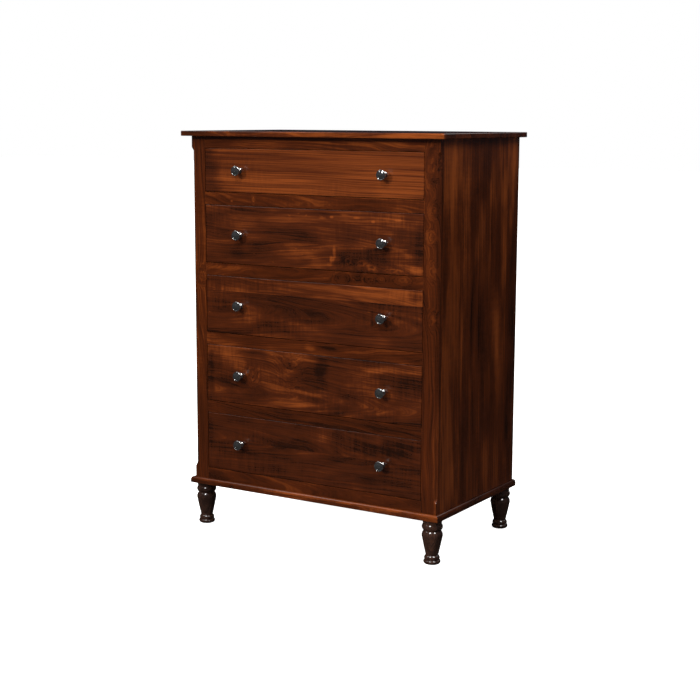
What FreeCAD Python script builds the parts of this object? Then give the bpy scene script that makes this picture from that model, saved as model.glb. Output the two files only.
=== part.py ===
# Five-drawer chest with a flush face frame, stopped chamfers on its front corners and turned feet.
# Millimetres. X runs to the right, Y to the back and Z up, from the floor under the middle of the chest.
# Drawer 1 is the shallow one at the top, drawer 5 the lowest.

import FreeCAD, Part
import os
import Sketcher

# Driving sizes

SIZES = {
    # case
    "case_width": 888,
    "case_depth": 519,
    "side_thickness": 19,
    "back_panel_thickness": 6,
    "back_rebate_width": 10,
    # top
    "top_thickness": 16,
    "top_side_overhang": 24,
    "top_front_overhang": 26,
    "top_back_overhang": 5,
    "top_corner_radius": 3,
    "top_edge_radius": 2.4,
    # face frame
    "stile_width": 51,
    "stile_thickness": 22,
    "divider_height": 38,
    "top_rail_height": 36,
    "bottom_rail_height": 36,
    "tenon_length": 22,
    "tenon_thickness": 9,
    "tenon_shoulder": 6,
    "chamfer_width": 9.5,
    "chamfer_inset": 47,
    "chamfer_cutter_tip_radius": 2.5,
    # drawer openings
    "shallow_opening_height": 138,
    "deep_opening_height": 184,
    # web frames, guides and stops
    "side_rail_width": 51,
    "rear_rail_width": 45,
    "guide_height": 19,
    "stop_length": 32.7,
    "stop_width": 20,
    "stop_height": 25,
    # base
    "base_thickness": 20,
    "base_width": 76,
    "base_projection": 12.5,
    "base_top_radius": 6,
    "base_quirk": 1.2,
    "base_under_radius": 2.5,
    # feet
    "foot_height": 136,
    "foot_radius": 31.5,
    "foot_edge_gap": 5,
    "foot_tenon_radius": 12.5,
    "foot_tenon_cover": 2,
    # screws of the base
    "base_screw_cover": 8,
    "base_screw_radius": 2.2,
    "base_screw_head_radius": 4.5,
    "base_screw_head_height": 2.6,
    "base_screw_recess": 6,
    "base_screw_point": 5,
    "base_screw_slot_width": 1.2,
    "base_screw_slot_depth": 1.3,
    "base_screw_corner_gap": 190,
    # drawers
    "drawer_front_thickness": 20,
    "drawer_side_thickness": 12.5,
    "drawer_back_thickness": 12.5,
    "drawer_bottom_thickness": 6,
    "drawer_bottom_lift": 12,
    "drawer_groove_depth": 6,
    "drawer_side_drop": 6,
    "drawer_edge_radius": 1.5,
    "dovetail_pitch": 36,
    "dovetail_lap": 7,
    # knobs
    "knob_radius": 15.6,
    "knob_reach": 27,
    "knob_spread": 521,
    "knob_bore_depth": 12,
    "knob_screw_radius": 2,
    "knob_screw_head_radius": 4.6,
    "knob_screw_head_height": 2.4,
    "knob_bore_spare": 3,
    "knob_screw_slot_width": 1.1,
    "knob_screw_slot_depth": 1.2,
    # clearances
    "drawer_gap": 1.6,
    "guide_clearance": 0.6,
    "running_clearance": 0.3,
    "stop_clearance": 0.3,
    "joint_clearance": 0.1,
    "cutting_overrun": 1,
}

DEEP_DRAWERS = 4
DRAWERS = 1 + DEEP_DRAWERS

# Width of a tail's root over the pitch, and how far its cheek leans out per unit of length
TAIL_ROOT_SHARE = 0.5
TAIL_SLOPE_SHARE = 1 / 7

# Corner of a quarter circle to its middle, over its radius
ARC_MIDDLE_SHARE = 1 - 0.5 ** 0.5

# Turned outlines, as (radius, height) shares of the piece's largest radius and height, from the axis at the
# bottom to the axis at the top. Where a step has two pairs, an arc passes through the first to the second,
# and a dome is an arc centred on the axis.
DOME = "dome"
FOOT_OUTLINE_SHARES = (
    ((0.60, 0.0),),
    ((0.756, 0.0165), (0.825, 0.052)),
    ((0.790, 0.082), (0.686, 0.096)),
    ((0.750, 0.145), (0.600, 0.197)),
    ((0.797, 0.400), (0.975, 0.603)),
    ((0.998, 0.668), (0.812, 0.754)),
    ((0.812, 0.762),),
    ((1.000, 0.833), (0.900, 0.900)),
    ((0.915, 0.945), (0.975, 0.978)),
    ((0.975, 1.0),),
)
KNOB_OUTLINE_SHARES = (
    ((0.60, 0.0),),
    ((0.60, 0.07),),
    ((0.40, 0.17), (0.345, 0.33)),
    ((0.43, 0.50), (0.80, 0.62)),
    ((0.96, 0.68), (1.00, 0.78)),
    ((0.97, 0.87), (0.89, 0.90)),
    ((0.85, 0.905), (0.80, 0.885)),
    ((0.77, 0.885),),
    (DOME, (0.0, 1.0)),
)
SCREW_HEAD_OUTLINE_SHARES = (
    ((0.70, 0.0),),
    ((0.93, 0.35), (1.00, 1.0)),
)

# Angles in degrees
FULL_TURN = 360
UPRIGHT = 0
TIPPED_FORWARD = 90

# How much of a flat face's normal lies along the direction that it looks in, at least
FACING_SHARE = 0.999


# Sizes that stay bound to the sheet

class Size:
    """A length that keeps its sheet expression beside its value, so that sums stay bound to the sheet."""

    def __init__(self, text, value):
        self.text = text
        self.value = value

    def __add__(self, other):
        other = as_size(other)
        return Size(f"({self.text} + {other.text})", self.value + other.value)

    def __sub__(self, other):
        other = as_size(other)
        return Size(f"({self.text} - {other.text})", self.value - other.value)

    def __mul__(self, factor):
        factor = as_size(factor)
        return Size(f"({self.text} * {factor.text})", self.value * factor.value)

    def __truediv__(self, divisor):
        divisor = as_size(divisor)
        return Size(f"({self.text} / {divisor.text})", self.value / divisor.value)

    def __neg__(self):
        return self * -1

    __rmul__ = __mul__


def as_size(number):
    return number if isinstance(number, Size) else Size(f"({number!r})", number)


def rounded(size):
    """The nearest whole number to a ratio of sizes."""
    return Size(f"round({size.text})", int(size.value + 0.5))


doc = FreeCAD.newDocument("Chest")
sheet = doc.addObject("Spreadsheet::Sheet", "Sizes")
for row, (alias, value) in enumerate(SIZES.items(), start=1):
    sheet.set(f"A{row}", alias)
    sheet.set(f"B{row}", str(value))
    sheet.setAlias(f"B{row}", alias)
doc.recompute()


class Named:
    """Every driving size by its name."""


s = Named()
for alias, value in SIZES.items():
    setattr(s, alias, Size(f"Sizes.{alias}", value))

ZERO = as_size(0)

# Places that several pieces share

front_y = (s.knob_reach - s.case_depth - s.top_back_overhang) / 2
back_y = front_y + s.case_depth
panel_y = back_y - s.back_panel_thickness
left_x = -s.case_width / 2
inner_left_x = left_x + s.side_thickness
inner_width = s.case_width - 2 * s.side_thickness
base_top_z = s.foot_height + s.base_thickness
opening_width = s.case_width - 2 * s.stile_width
frame_y = front_y + s.stile_thickness
drawer_length = s.case_depth - s.back_panel_thickness - s.stop_length - s.stop_clearance
drawer_x = left_x + s.stile_width + s.drawer_gap
drawer_width = opening_width - 2 * s.drawer_gap


def opening_floor(number):
    """Height of the rail top under a drawer."""
    return base_top_z + s.bottom_rail_height + (DRAWERS - number) * (s.deep_opening_height + s.divider_height)


def opening_height(number):
    return s.shallow_opening_height if number == 1 else s.deep_opening_height


def drawer_floor(number):
    """Height of a drawer's underside."""
    return opening_floor(number) + s.running_clearance


def front_levels(number):
    """Lower and upper edge of a drawer's front, from the drawer's underside."""
    return (s.drawer_gap - s.running_clearance,
            opening_height(number) - s.drawer_gap - s.running_clearance)


def side_height(number):
    return front_levels(number)[1] - s.drawer_side_drop


case_top_z = opening_floor(1) + s.shallow_opening_height + s.top_rail_height
case_height = case_top_z - base_top_z


# Each level of the case that has a face-frame rail and a web frame behind it
def rail_levels():
    """(name, height of its underside, height of the rail) from the bottom up."""
    levels = [("bottom_rail", base_top_z, s.bottom_rail_height)]
    for number in range(DEEP_DRAWERS, 0, -1):
        underside = opening_floor(number) - s.divider_height
        levels.append((f"divider_rail_{number}", underside, s.divider_height))
    levels.append(("top_rail", case_top_z - s.top_rail_height, s.top_rail_height))
    return levels


# Building blocks

sub_parts = []


def sub_part(piece, label):
    """Gives a finished piece its own label and lists it for writing out."""
    piece.Label = label
    sub_parts.append(piece)
    return piece


def bind(piece, prop, size):
    piece.setExpression(prop, as_size(size).text)


def place(piece, x, y, z):
    for axis, size in (("x", x), ("y", y), ("z", z)):
        bind(piece, f".Placement.Base.{axis}", size)


def box(name, size, corner):
    """A plain board: its three sizes and its lowest corner."""
    piece = doc.addObject("Part::Box", name)
    for prop, length in zip(("Length", "Width", "Height"), size):
        bind(piece, prop, length)
    place(piece, *corner)
    return piece


def joined(name, pieces):
    piece = doc.addObject("Part::MultiFuse", name)
    piece.Shapes = pieces
    piece.Refine = True
    return piece


def cut(name, base, tools):
    piece = doc.addObject("Part::Cut", name)
    piece.Base = base
    piece.Tool = tools[0] if len(tools) == 1 else joined(f"{name}_tools", tools)
    return piece


def group(name, pieces):
    """Separate solids that share one node."""
    piece = doc.addObject("Part::Compound", name)
    piece.Links = pieces
    return piece


def mirrored(name, piece):
    """The same piece on the other side of the chest's middle."""
    copy = doc.addObject("Part::Mirroring", name)
    copy.Source = piece
    copy.Normal = FreeCAD.Vector(1, 0, 0)
    return copy


def body_at(name, x, y, z):
    body = doc.addObject("PartDesign::Body", name)
    place(body, x, y, z)
    return body


def plane_sketch(body, name, role, offset=ZERO):
    """A sketch on one of the body's own planes, moved along the plane's normal by an offset."""
    sketch = body.newObject("Sketcher::SketchObject", name)
    plane = next(feature for feature in body.Origin.OriginFeatures if feature.Role == role)
    sketch.AttachmentSupport = [(plane, "")]
    sketch.MapMode = "FlatFace"
    bind(sketch, ".AttachmentOffset.Base.z", offset)
    return sketch


def vector(pair):
    return FreeCAD.Vector(pair[0].value, pair[1].value, 0)


def fix_point(sketch, geometry, end, pair):
    """Holds one point of a sketch at a pair of bound distances from the sketch's origin."""
    for kind, size in zip(("DistanceX", "DistanceY"), pair):
        constraint = Sketcher.Constraint(kind, -1, 1, geometry, end, size.value)
        index = sketch.addConstraint(constraint)
        bind(sketch, f"Constraints[{index}]", size)


def nearer_end(sketch, edge, target):
    """Which end of an edge, 1 or 2, lies at the target."""
    gaps = [sketch.getPoint(edge, end).distanceToPoint(target) for end in (1, 2)]
    return 1 if gaps[0] < gaps[1] else 2


def dome_middle(start, end):
    """A point on the arc between two points that is centred on the upright axis."""
    centre_y = (end.y ** 2 - start.x ** 2 - start.y ** 2) / (2 * (end.y - start.y))
    halfway = FreeCAD.Vector(start.x / 2, (start.y + end.y) / 2 - centre_y, 0)
    return halfway.normalize() * (end.y - centre_y) + FreeCAD.Vector(0, centre_y, 0)


def draw_outline(sketch, steps):
    """A closed outline. Each step ends at its last pair, and an arc also has its middle or DOME before it."""
    steps = [tuple(pair if pair == DOME else (as_size(pair[0]), as_size(pair[1])) for pair in step)
             for step in steps]
    edges = []
    for number, step in enumerate(steps):
        start = vector(steps[number - 1][-1])
        end = vector(step[-1])
        if len(step) == 1:
            edge = sketch.addGeometry(Part.LineSegment(start, end))
        else:
            middle = dome_middle(start, end) if step[0] == DOME else vector(step[0])
            edge = sketch.addGeometry(Part.Arc(start, middle, end))
        edges.append((edge, nearer_end(sketch, edge, start), nearer_end(sketch, edge, end)))
    for number, step in enumerate(steps):
        edge, start_end, far_end = edges[number]
        before, _, before_end = edges[number - 1]
        sketch.addConstraint(Sketcher.Constraint("Coincident", before, before_end, edge, start_end))
        fix_point(sketch, edge, far_end, step[-1])
        if step[0] == DOME:
            sketch.addConstraint(Sketcher.Constraint("PointOnObject", edge, 3, -2))
        elif len(step) == 2:
            middle = sketch.addGeometry(Part.Point(vector(step[0])), True)
            sketch.addConstraint(Sketcher.Constraint("PointOnObject", middle, 1, edge))
            fix_point(sketch, middle, 1, step[0])


def draw_circles(sketch, centres, radius):
    for centre in centres:
        centre = (as_size(centre[0]), as_size(centre[1]))
        circle = sketch.addGeometry(Part.Circle(vector(centre), FreeCAD.Vector(0, 0, 1), radius.value))
        fix_point(sketch, circle, 3, centre)
        index = sketch.addConstraint(Sketcher.Constraint("Radius", circle, radius.value))
        bind(sketch, f"Constraints[{index}]", radius)


def rectangle(low, high):
    """The four corners between two opposite ones, as an outline's steps."""
    return [((high[0], low[1]),), (high,), ((low[0], high[1]),), (low,)]


def feature(body, kind, sketch, length=None, reversed_way=False):
    """A pad or pocket of a sketch, as deep as the length, or through everything where it has none."""
    made = body.newObject(f"PartDesign::{kind}", f"{sketch.Name}_{kind}")
    made.Profile = sketch
    if length is None:
        made.Type = "ThroughAll"
    else:
        bind(made, "Length", length)
    made.Reversed = reversed_way
    body.Tip = made
    return made


def repeat_up(body, original, sketch, spacing, count):
    """Copies of a feature, evenly spaced along the sketch's upright axis."""
    made = body.newObject("PartDesign::LinearPattern", f"{original.Name}_row")
    made.Originals = [original]
    made.Direction = (sketch, ["V_Axis"])
    bind(made, "Length", spacing * (count - 1))
    bind(made, "Occurrences", count)
    body.Tip = made
    return made


def round_edges_of_face(body, base, direction, radius):
    """Rounds the edges of the flat face that looks in a direction."""
    doc.recompute()
    names = []
    for index, face in enumerate(base.Shape.Faces, start=1):
        normal = face.normalAt(*face.Surface.parameter(face.CenterOfMass))
        if normal.dot(FreeCAD.Vector(*direction)) > FACING_SHARE:
            names.append(f"Face{index}")
    made = body.newObject("PartDesign::Fillet", f"{base.Name}_rounding")
    made.Base = (base, names)
    bind(made, "Radius", radius)
    body.Tip = made
    return made


def turned(name, steps, x, y, z, tilt=UPRIGHT):
    """A turned piece: an outline spun round its upright axis, then tipped forward by the tilt."""
    body = body_at(name, x, y, z)
    body.Placement = FreeCAD.Placement(body.Placement.Base, FreeCAD.Rotation(FreeCAD.Vector(1, 0, 0), tilt))
    sketch = plane_sketch(body, f"{name}_outline", "XZ_Plane")
    draw_outline(sketch, steps)
    spun = body.newObject("PartDesign::Revolution", f"{name}_spun")
    spun.Profile = sketch
    spun.ReferenceAxis = (sketch, ["V_Axis"])
    spun.Angle = FULL_TURN
    body.Tip = spun
    return body


def slot_head(body, name, head_radius, width, depth):
    """The driver's slot across a screw's head."""
    sketch = plane_sketch(body, f"{name}_slot", "XY_Plane")
    reach = head_radius + s.cutting_overrun
    draw_outline(sketch, rectangle((-reach, -width / 2), (reach, width / 2)))
    feature(body, "Pocket", sketch, depth, reversed_way=True)


def scaled_outline(shares, radius, height):
    return [tuple(pair if pair == DOME else (radius * pair[0], height * pair[1]) for pair in step)
            for step in shares]


# Case

def make_top_panel():
    size_x = s.case_width + 2 * s.top_side_overhang
    size_y = s.case_depth + s.top_front_overhang + s.top_back_overhang
    body = body_at("TopPanel", left_x - s.top_side_overhang, front_y - s.top_front_overhang, case_top_z)
    radius = s.top_corner_radius
    reach = radius * ARC_MIDDLE_SHARE
    sketch = plane_sketch(body, "TopOutline", "XY_Plane")
    draw_outline(sketch, [
        ((reach, reach), (radius, ZERO)),
        ((size_x - radius, ZERO),),
        ((size_x - reach, reach), (size_x, radius)),
        ((size_x, size_y - radius),),
        ((size_x - reach, size_y - reach), (size_x - radius, size_y)),
        ((radius, size_y),),
        ((reach, size_y - reach), (ZERO, size_y - radius)),
        ((ZERO, radius),),
    ])
    pad = feature(body, "Pad", sketch, s.top_thickness)
    upper = round_edges_of_face(body, pad, (0, 0, 1), s.top_edge_radius)
    round_edges_of_face(body, upper, (0, 0, -1), s.top_edge_radius)
    sub_part(body, "top_panel")


def make_side_panels():
    board = box("SideBoard", (s.side_thickness, s.case_depth - s.stile_thickness, case_height),
                (left_x, frame_y, base_top_z))
    rebate_x = inner_left_x - s.back_rebate_width
    rebate = box("SideRebate", (s.back_rebate_width + s.cutting_overrun,
                                s.back_panel_thickness + s.cutting_overrun,
                                case_height + 2 * s.cutting_overrun),
                 (rebate_x, panel_y, base_top_z - s.cutting_overrun))
    left = sub_part(cut("LeftSide", board, [rebate]), "left_side_panel")
    sub_part(mirrored("RightSide", left), "right_side_panel")


def make_stiles():
    blank = box("StileBlank", (s.stile_width, s.stile_thickness, case_height), (left_x, front_y, base_top_z))
    tools = []
    mortise_x = left_x + s.stile_width - s.tenon_length - s.joint_clearance
    mortise_width = s.tenon_thickness + 2 * s.joint_clearance
    mortise_y = front_y + (s.stile_thickness - mortise_width) / 2
    for name, underside, height in rail_levels():
        tools.append(box(f"Mortise_{name}",
                         (s.tenon_length + s.joint_clearance + s.cutting_overrun,
                          mortise_width,
                          height - 2 * s.tenon_shoulder + 2 * s.joint_clearance),
                         (mortise_x, mortise_y, underside + s.tenon_shoulder - s.joint_clearance)))
    tools.extend(chamfer_tools())
    left = sub_part(cut("LeftStile", blank, tools), "left_front_stile")
    sub_part(mirrored("RightStile", left), "right_front_stile")


def chamfer_tools():
    """The path of a 45 degree cutter along the outer front edge, with the run-outs it leaves at both ends."""
    start_z = base_top_z + s.chamfer_inset
    run = case_height - 2 * s.chamfer_inset
    over = s.cutting_overrun
    width = s.chamfer_width + over
    wedge = doc.addObject("Part::Wedge", "ChamferRun")
    for prop, size in (("Xmin", ZERO), ("Ymin", ZERO), ("Zmin", ZERO),
                       ("Xmax", width + over), ("Ymax", width + over), ("Zmax", run),
                       ("X2min", ZERO), ("Z2min", ZERO), ("X2max", ZERO), ("Z2max", run)):
        bind(wedge, prop, size)
    place(wedge, left_x - over, front_y - over, start_z)
    tools = [wedge]
    for name, height in (("Lower", start_z), ("Upper", start_z + run)):
        cone = doc.addObject("Part::Cone", f"Chamfer{name}End")
        cone.Placement = FreeCAD.Placement(FreeCAD.Vector(), FreeCAD.Rotation(FreeCAD.Vector(1, 0, 0), -TIPPED_FORWARD))
        bind(cone, "Radius1", s.chamfer_cutter_tip_radius + width)
        bind(cone, "Radius2", s.chamfer_cutter_tip_radius)
        bind(cone, "Height", width)
        place(cone, left_x - s.chamfer_cutter_tip_radius, front_y - over, height)
        tools.append(cone)
    return tools


def make_rails():
    for name, underside, height in rail_levels():
        rail_x = left_x + s.stile_width
        shown = box(f"{name}_shown", (opening_width, s.stile_thickness, height), (rail_x, front_y, underside))
        tenon = box(f"{name}_tenons",
                    (opening_width + 2 * s.tenon_length, s.tenon_thickness, height - 2 * s.tenon_shoulder),
                    (rail_x - s.tenon_length, front_y + (s.stile_thickness - s.tenon_thickness) / 2,
                     underside + s.tenon_shoulder))
        sub_part(joined(f"{name}_board", [shown, tenon]), name)


def make_back_panel():
    width = inner_width + 2 * (s.back_rebate_width - s.joint_clearance)
    corner = (-width / 2, panel_y, base_top_z)
    sub_part(box("BackPanel", (width, s.back_panel_thickness, case_height), corner), "back_panel")


def both_sides(name, size, corner):
    """A board on the left and its twin on the right."""
    right_x = -corner[0] - size[0]
    return [box(f"{name}_left", size, corner), box(f"{name}_right", size, (right_x, corner[1], corner[2]))]


def make_web_frames():
    rear_y = panel_y - s.rear_rail_width
    rear_rails = []
    side_rails = []
    for name, underside, height in rail_levels():
        rear_rails.append(box(f"{name}_rear", (inner_width, s.rear_rail_width, height),
                              (inner_left_x, rear_y, underside)))
        side_rails.extend(both_sides(f"{name}_side", (s.side_rail_width, rear_y - frame_y, height),
                                     (inner_left_x, frame_y, underside)))
    sub_part(group("RearRails", rear_rails), "web_frame_rear_rails")
    sub_part(group("SideRails", side_rails), "web_frame_side_rails")


def make_guides_and_stops():
    guides = []
    stops = []
    guide_size = (drawer_x - s.guide_clearance - inner_left_x, panel_y - frame_y, s.guide_height)
    stop_y = panel_y - s.stop_length
    for number in range(1, DRAWERS + 1):
        floor = opening_floor(number)
        guides.extend(both_sides(f"Guide{number}", guide_size, (inner_left_x, frame_y, floor)))
        stops.extend(both_sides(f"Stop{number}", (s.stop_width, s.stop_length, s.stop_height),
                                (drawer_x, stop_y, floor)))
    sub_part(group("Guides", guides), "drawer_guides")
    sub_part(group("Stops", stops), "drawer_stops")


# Base and feet

def base_profile():
    """Section of a moulded board, its moulded edge at zero."""
    under = s.base_under_radius
    under_reach = under * ARC_MIDDLE_SHARE
    quirk_z = s.base_thickness - s.base_top_radius - s.base_quirk
    round_z = s.base_thickness - s.base_top_radius
    top_reach = s.base_top_radius * ARC_MIDDLE_SHARE
    return [
        ((under, ZERO),),
        ((under_reach, under_reach), (ZERO, under)),
        ((ZERO, quirk_z),),
        ((s.base_quirk, quirk_z),),
        ((s.base_quirk, round_z),),
        ((s.base_quirk + top_reach, s.base_thickness - top_reach),
         (s.base_quirk + s.base_top_radius, s.base_thickness)),
        ((s.base_width, s.base_thickness),),
        ((s.base_width, ZERO),),
    ]


base_left_x = left_x - s.base_projection
base_front_y = front_y - s.base_projection
base_outer_width = s.case_width + 2 * s.base_projection
base_outer_depth = s.case_depth + s.base_projection
foot_inset = s.foot_radius + s.foot_edge_gap
foot_tenon_length = s.base_thickness - s.foot_tenon_cover


def drill_from_below(body, name, centres, radius, depth=None):
    sketch = plane_sketch(body, name, "XY_Plane")
    draw_circles(sketch, centres, radius)
    feature(body, "Pocket", sketch, depth, reversed_way=True)


def drill_for_screws(body, name, centres):
    """A recess for each screw's head, and a hole for its shank."""
    shank_radius = s.base_screw_radius + s.joint_clearance
    head_radius = s.base_screw_head_radius + s.joint_clearance
    drill_from_below(body, f"{name}Heads", centres, head_radius, s.base_screw_recess)
    drill_from_below(body, f"{name}Shanks", centres, shank_radius)


def foot_bores(body, name, centres):
    drill_from_below(body, name, centres, s.foot_tenon_radius + s.joint_clearance,
                     foot_tenon_length + s.joint_clearance)


# Screw places, from the base's own front left corner
front_screw_y = s.base_projection + s.stile_thickness / 2
side_screw_x = s.base_projection + s.side_thickness + s.side_rail_width / 2
back_screw_y = base_outer_depth - s.back_panel_thickness - s.rear_rail_width / 2
front_screw_places = [(s.base_screw_corner_gap, front_screw_y),
                      (base_outer_width - s.base_screw_corner_gap, front_screw_y)]
side_screw_places = [(side_screw_x, s.base_screw_corner_gap),
                     (side_screw_x, base_outer_depth - s.base_screw_corner_gap)]
back_screw_places = [(s.base_screw_corner_gap, back_screw_y),
                     (base_outer_width - s.base_screw_corner_gap, back_screw_y)]


def make_base_front():
    body = body_at("BaseFront", base_left_x, base_front_y, s.foot_height)
    section = plane_sketch(body, "BaseFrontSection", "YZ_Plane")
    draw_outline(section, base_profile())
    feature(body, "Pad", section, base_outer_width)
    mitres = (
        ("Left", [((ZERO, s.base_width),), ((s.base_width, s.base_width),), ((ZERO, ZERO),)]),
        ("Right", [((base_outer_width, s.base_width),), ((base_outer_width - s.base_width, s.base_width),),
                   ((base_outer_width, ZERO),)]),
    )
    for end, corners in mitres:
        sketch = plane_sketch(body, f"BaseFront{end}Mitre", "XY_Plane")
        draw_outline(sketch, corners)
        feature(body, "Pocket", sketch, reversed_way=True)
    foot_bores(body, "BaseFrontBores",
               [(foot_inset, foot_inset), (base_outer_width - foot_inset, foot_inset)])
    drill_for_screws(body, "BaseFront", front_screw_places)
    sub_part(body, "base_front_moulding")


def make_base_sides():
    body = body_at("BaseLeft", base_left_x, base_front_y, s.foot_height)
    section = plane_sketch(body, "BaseLeftSection", "XZ_Plane")
    draw_outline(section, base_profile())
    feature(body, "Pad", section, base_outer_depth, reversed_way=True)
    mitre = plane_sketch(body, "BaseLeftMitre", "XY_Plane")
    draw_outline(mitre, [((s.base_width, ZERO),), ((s.base_width, s.base_width),), ((ZERO, ZERO),)])
    feature(body, "Pocket", mitre, reversed_way=True)
    foot_bores(body, "BaseLeftBores",
               [(foot_inset, foot_inset), (foot_inset, base_outer_depth - foot_inset)])
    drill_for_screws(body, "BaseLeft", side_screw_places)
    sub_part(body, "base_left_moulding")
    sub_part(mirrored("BaseRight", body), "base_right_moulding")


def make_base_back():
    """The plain back board, between the side boards."""
    body = body_at("BaseBack", base_left_x, base_front_y, s.foot_height)
    sketch = plane_sketch(body, "BaseBackOutline", "XY_Plane")
    draw_outline(sketch, rectangle((s.base_width, base_outer_depth - s.base_width),
                                   (base_outer_width - s.base_width, base_outer_depth)))
    feature(body, "Pad", sketch, s.base_thickness)
    drill_for_screws(body, "BaseBack", back_screw_places)
    sub_part(body, "base_back_board")


def make_base_screws():
    """Pan-head screws driven up into the case from their recesses."""
    head_z = s.base_screw_head_height
    hold = s.bottom_rail_height - s.base_screw_cover
    length = head_z + s.base_thickness - s.base_screw_recess + hold
    shank_z = length - s.base_screw_point
    outline = [
        ((s.base_screw_head_radius, ZERO),),
        ((s.base_screw_head_radius, head_z),),
        ((s.base_screw_radius, head_z),),
        ((s.base_screw_radius, shank_z),),
        ((ZERO, length),),
        ((ZERO, ZERO),),
    ]
    other_side = [(base_outer_width - x, y) for x, y in side_screw_places]
    screws = []
    for x, y in front_screw_places + side_screw_places + other_side + back_screw_places:
        screw = turned(f"BaseScrew{len(screws) + 1}", outline, base_left_x + x, base_front_y + y,
                       s.foot_height + s.base_screw_recess - head_z)
        slot_head(screw, screw.Name, s.base_screw_head_radius, s.base_screw_slot_width,
                  s.base_screw_slot_depth)
        screws.append(screw)
    sub_part(group("BaseScrews", screws), "base_screws")


def make_feet():
    outline = scaled_outline(FOOT_OUTLINE_SHARES, s.foot_radius, s.foot_height) + [
        ((s.foot_tenon_radius, s.foot_height),),
        ((s.foot_tenon_radius, s.foot_height + foot_tenon_length),),
        ((ZERO, s.foot_height + foot_tenon_length),),
        ((ZERO, ZERO),),
    ]
    for end, y in (("front", base_front_y + foot_inset), ("back", back_y - foot_inset)):
        for side, x in (("left", base_left_x + foot_inset), ("right", -base_left_x - foot_inset)):
            sub_part(turned(f"Foot_{end}_{side}", outline, x, y, ZERO), f"{end}_{side}_foot")


# Drawers

groove_height = s.drawer_bottom_thickness + 2 * s.joint_clearance
groove_inset = s.drawer_side_thickness - s.drawer_groove_depth
back_board_z = s.drawer_bottom_lift + groove_height - s.joint_clearance
half_blind_length = s.drawer_front_thickness - s.dovetail_lap
knob_inset = (drawer_width - s.knob_spread) / 2


def dovetail_row(low, high):
    """How many tails share the height between two levels, and their pitch."""
    count = rounded((high - low) / s.dovetail_pitch)
    return count, (high - low) / count


def tail_outline(root_y, tip_y, length, middle_z, pitch, spare):
    """One tail, narrow at its root and wide at its tip, grown all round by the spare."""
    root = pitch * TAIL_ROOT_SHARE / 2 + spare
    tip = root + length * TAIL_SLOPE_SHARE
    return [((tip_y, middle_z - tip),), ((tip_y, middle_z + tip),),
            ((root_y, middle_z + root),), ((root_y, middle_z - root),)]


def front_joint_levels(number):
    """Lowest and highest level of the joint between front and sides, from the drawer's underside."""
    return front_levels(number)[0], side_height(number)


def sockets(body, name, outline, pitch, count):
    """Rows of sockets for tails at both ends of a board of the drawer's width."""
    for end, offset, inward in (("Left", ZERO, True), ("Right", drawer_width, False)):
        sketch = plane_sketch(body, f"{name}{end}Socket", "YZ_Plane", offset)
        draw_outline(sketch, outline)
        depth = s.drawer_side_thickness + s.joint_clearance
        pocket = feature(body, "Pocket", sketch, depth, reversed_way=inward)
        repeat_up(body, pocket, sketch, pitch, count)


def bottom_groove(body, name):
    """The groove that holds the bottom, along the inner face of a front."""
    sketch = plane_sketch(body, f"{name}Groove", "YZ_Plane", groove_inset)
    low_z = s.drawer_bottom_lift - s.joint_clearance
    draw_outline(sketch, rectangle((s.drawer_front_thickness - s.drawer_groove_depth, low_z),
                                   (s.drawer_front_thickness, low_z + groove_height)))
    feature(body, "Pocket", sketch, drawer_width - 2 * groove_inset, reversed_way=True)


def make_drawer_front(number):
    """Board flush with the face frame, with lapped sockets for the sides' tails and two screw holes."""
    low, high = front_joint_levels(number)
    bottom_z, top_z = front_levels(number)
    body = body_at(f"Front{number}", drawer_x, front_y, drawer_floor(number))
    blank = plane_sketch(body, f"Front{number}Blank", "XZ_Plane")
    draw_outline(blank, rectangle((ZERO, bottom_z), (drawer_width, top_z)))
    pad = feature(body, "Pad", blank, s.drawer_front_thickness, reversed_way=True)
    round_edges_of_face(body, pad, (0, -1, 0), s.drawer_edge_radius)
    count, pitch = dovetail_row(low, high)
    outline = tail_outline(s.drawer_front_thickness, s.dovetail_lap - s.joint_clearance,
                           half_blind_length + s.joint_clearance, low + pitch / 2, pitch, s.joint_clearance)
    sockets(body, f"Front{number}", outline, pitch, count)
    bottom_groove(body, f"Front{number}")
    holes = plane_sketch(body, f"Front{number}Holes", "XZ_Plane")
    middle_z = (bottom_z + top_z) / 2
    draw_circles(holes, [(knob_inset, middle_z), (drawer_width - knob_inset, middle_z)],
                 s.knob_screw_radius + s.joint_clearance)
    feature(body, "Pocket", holes)
    sub_part(body, f"drawer_{number}_front")


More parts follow.
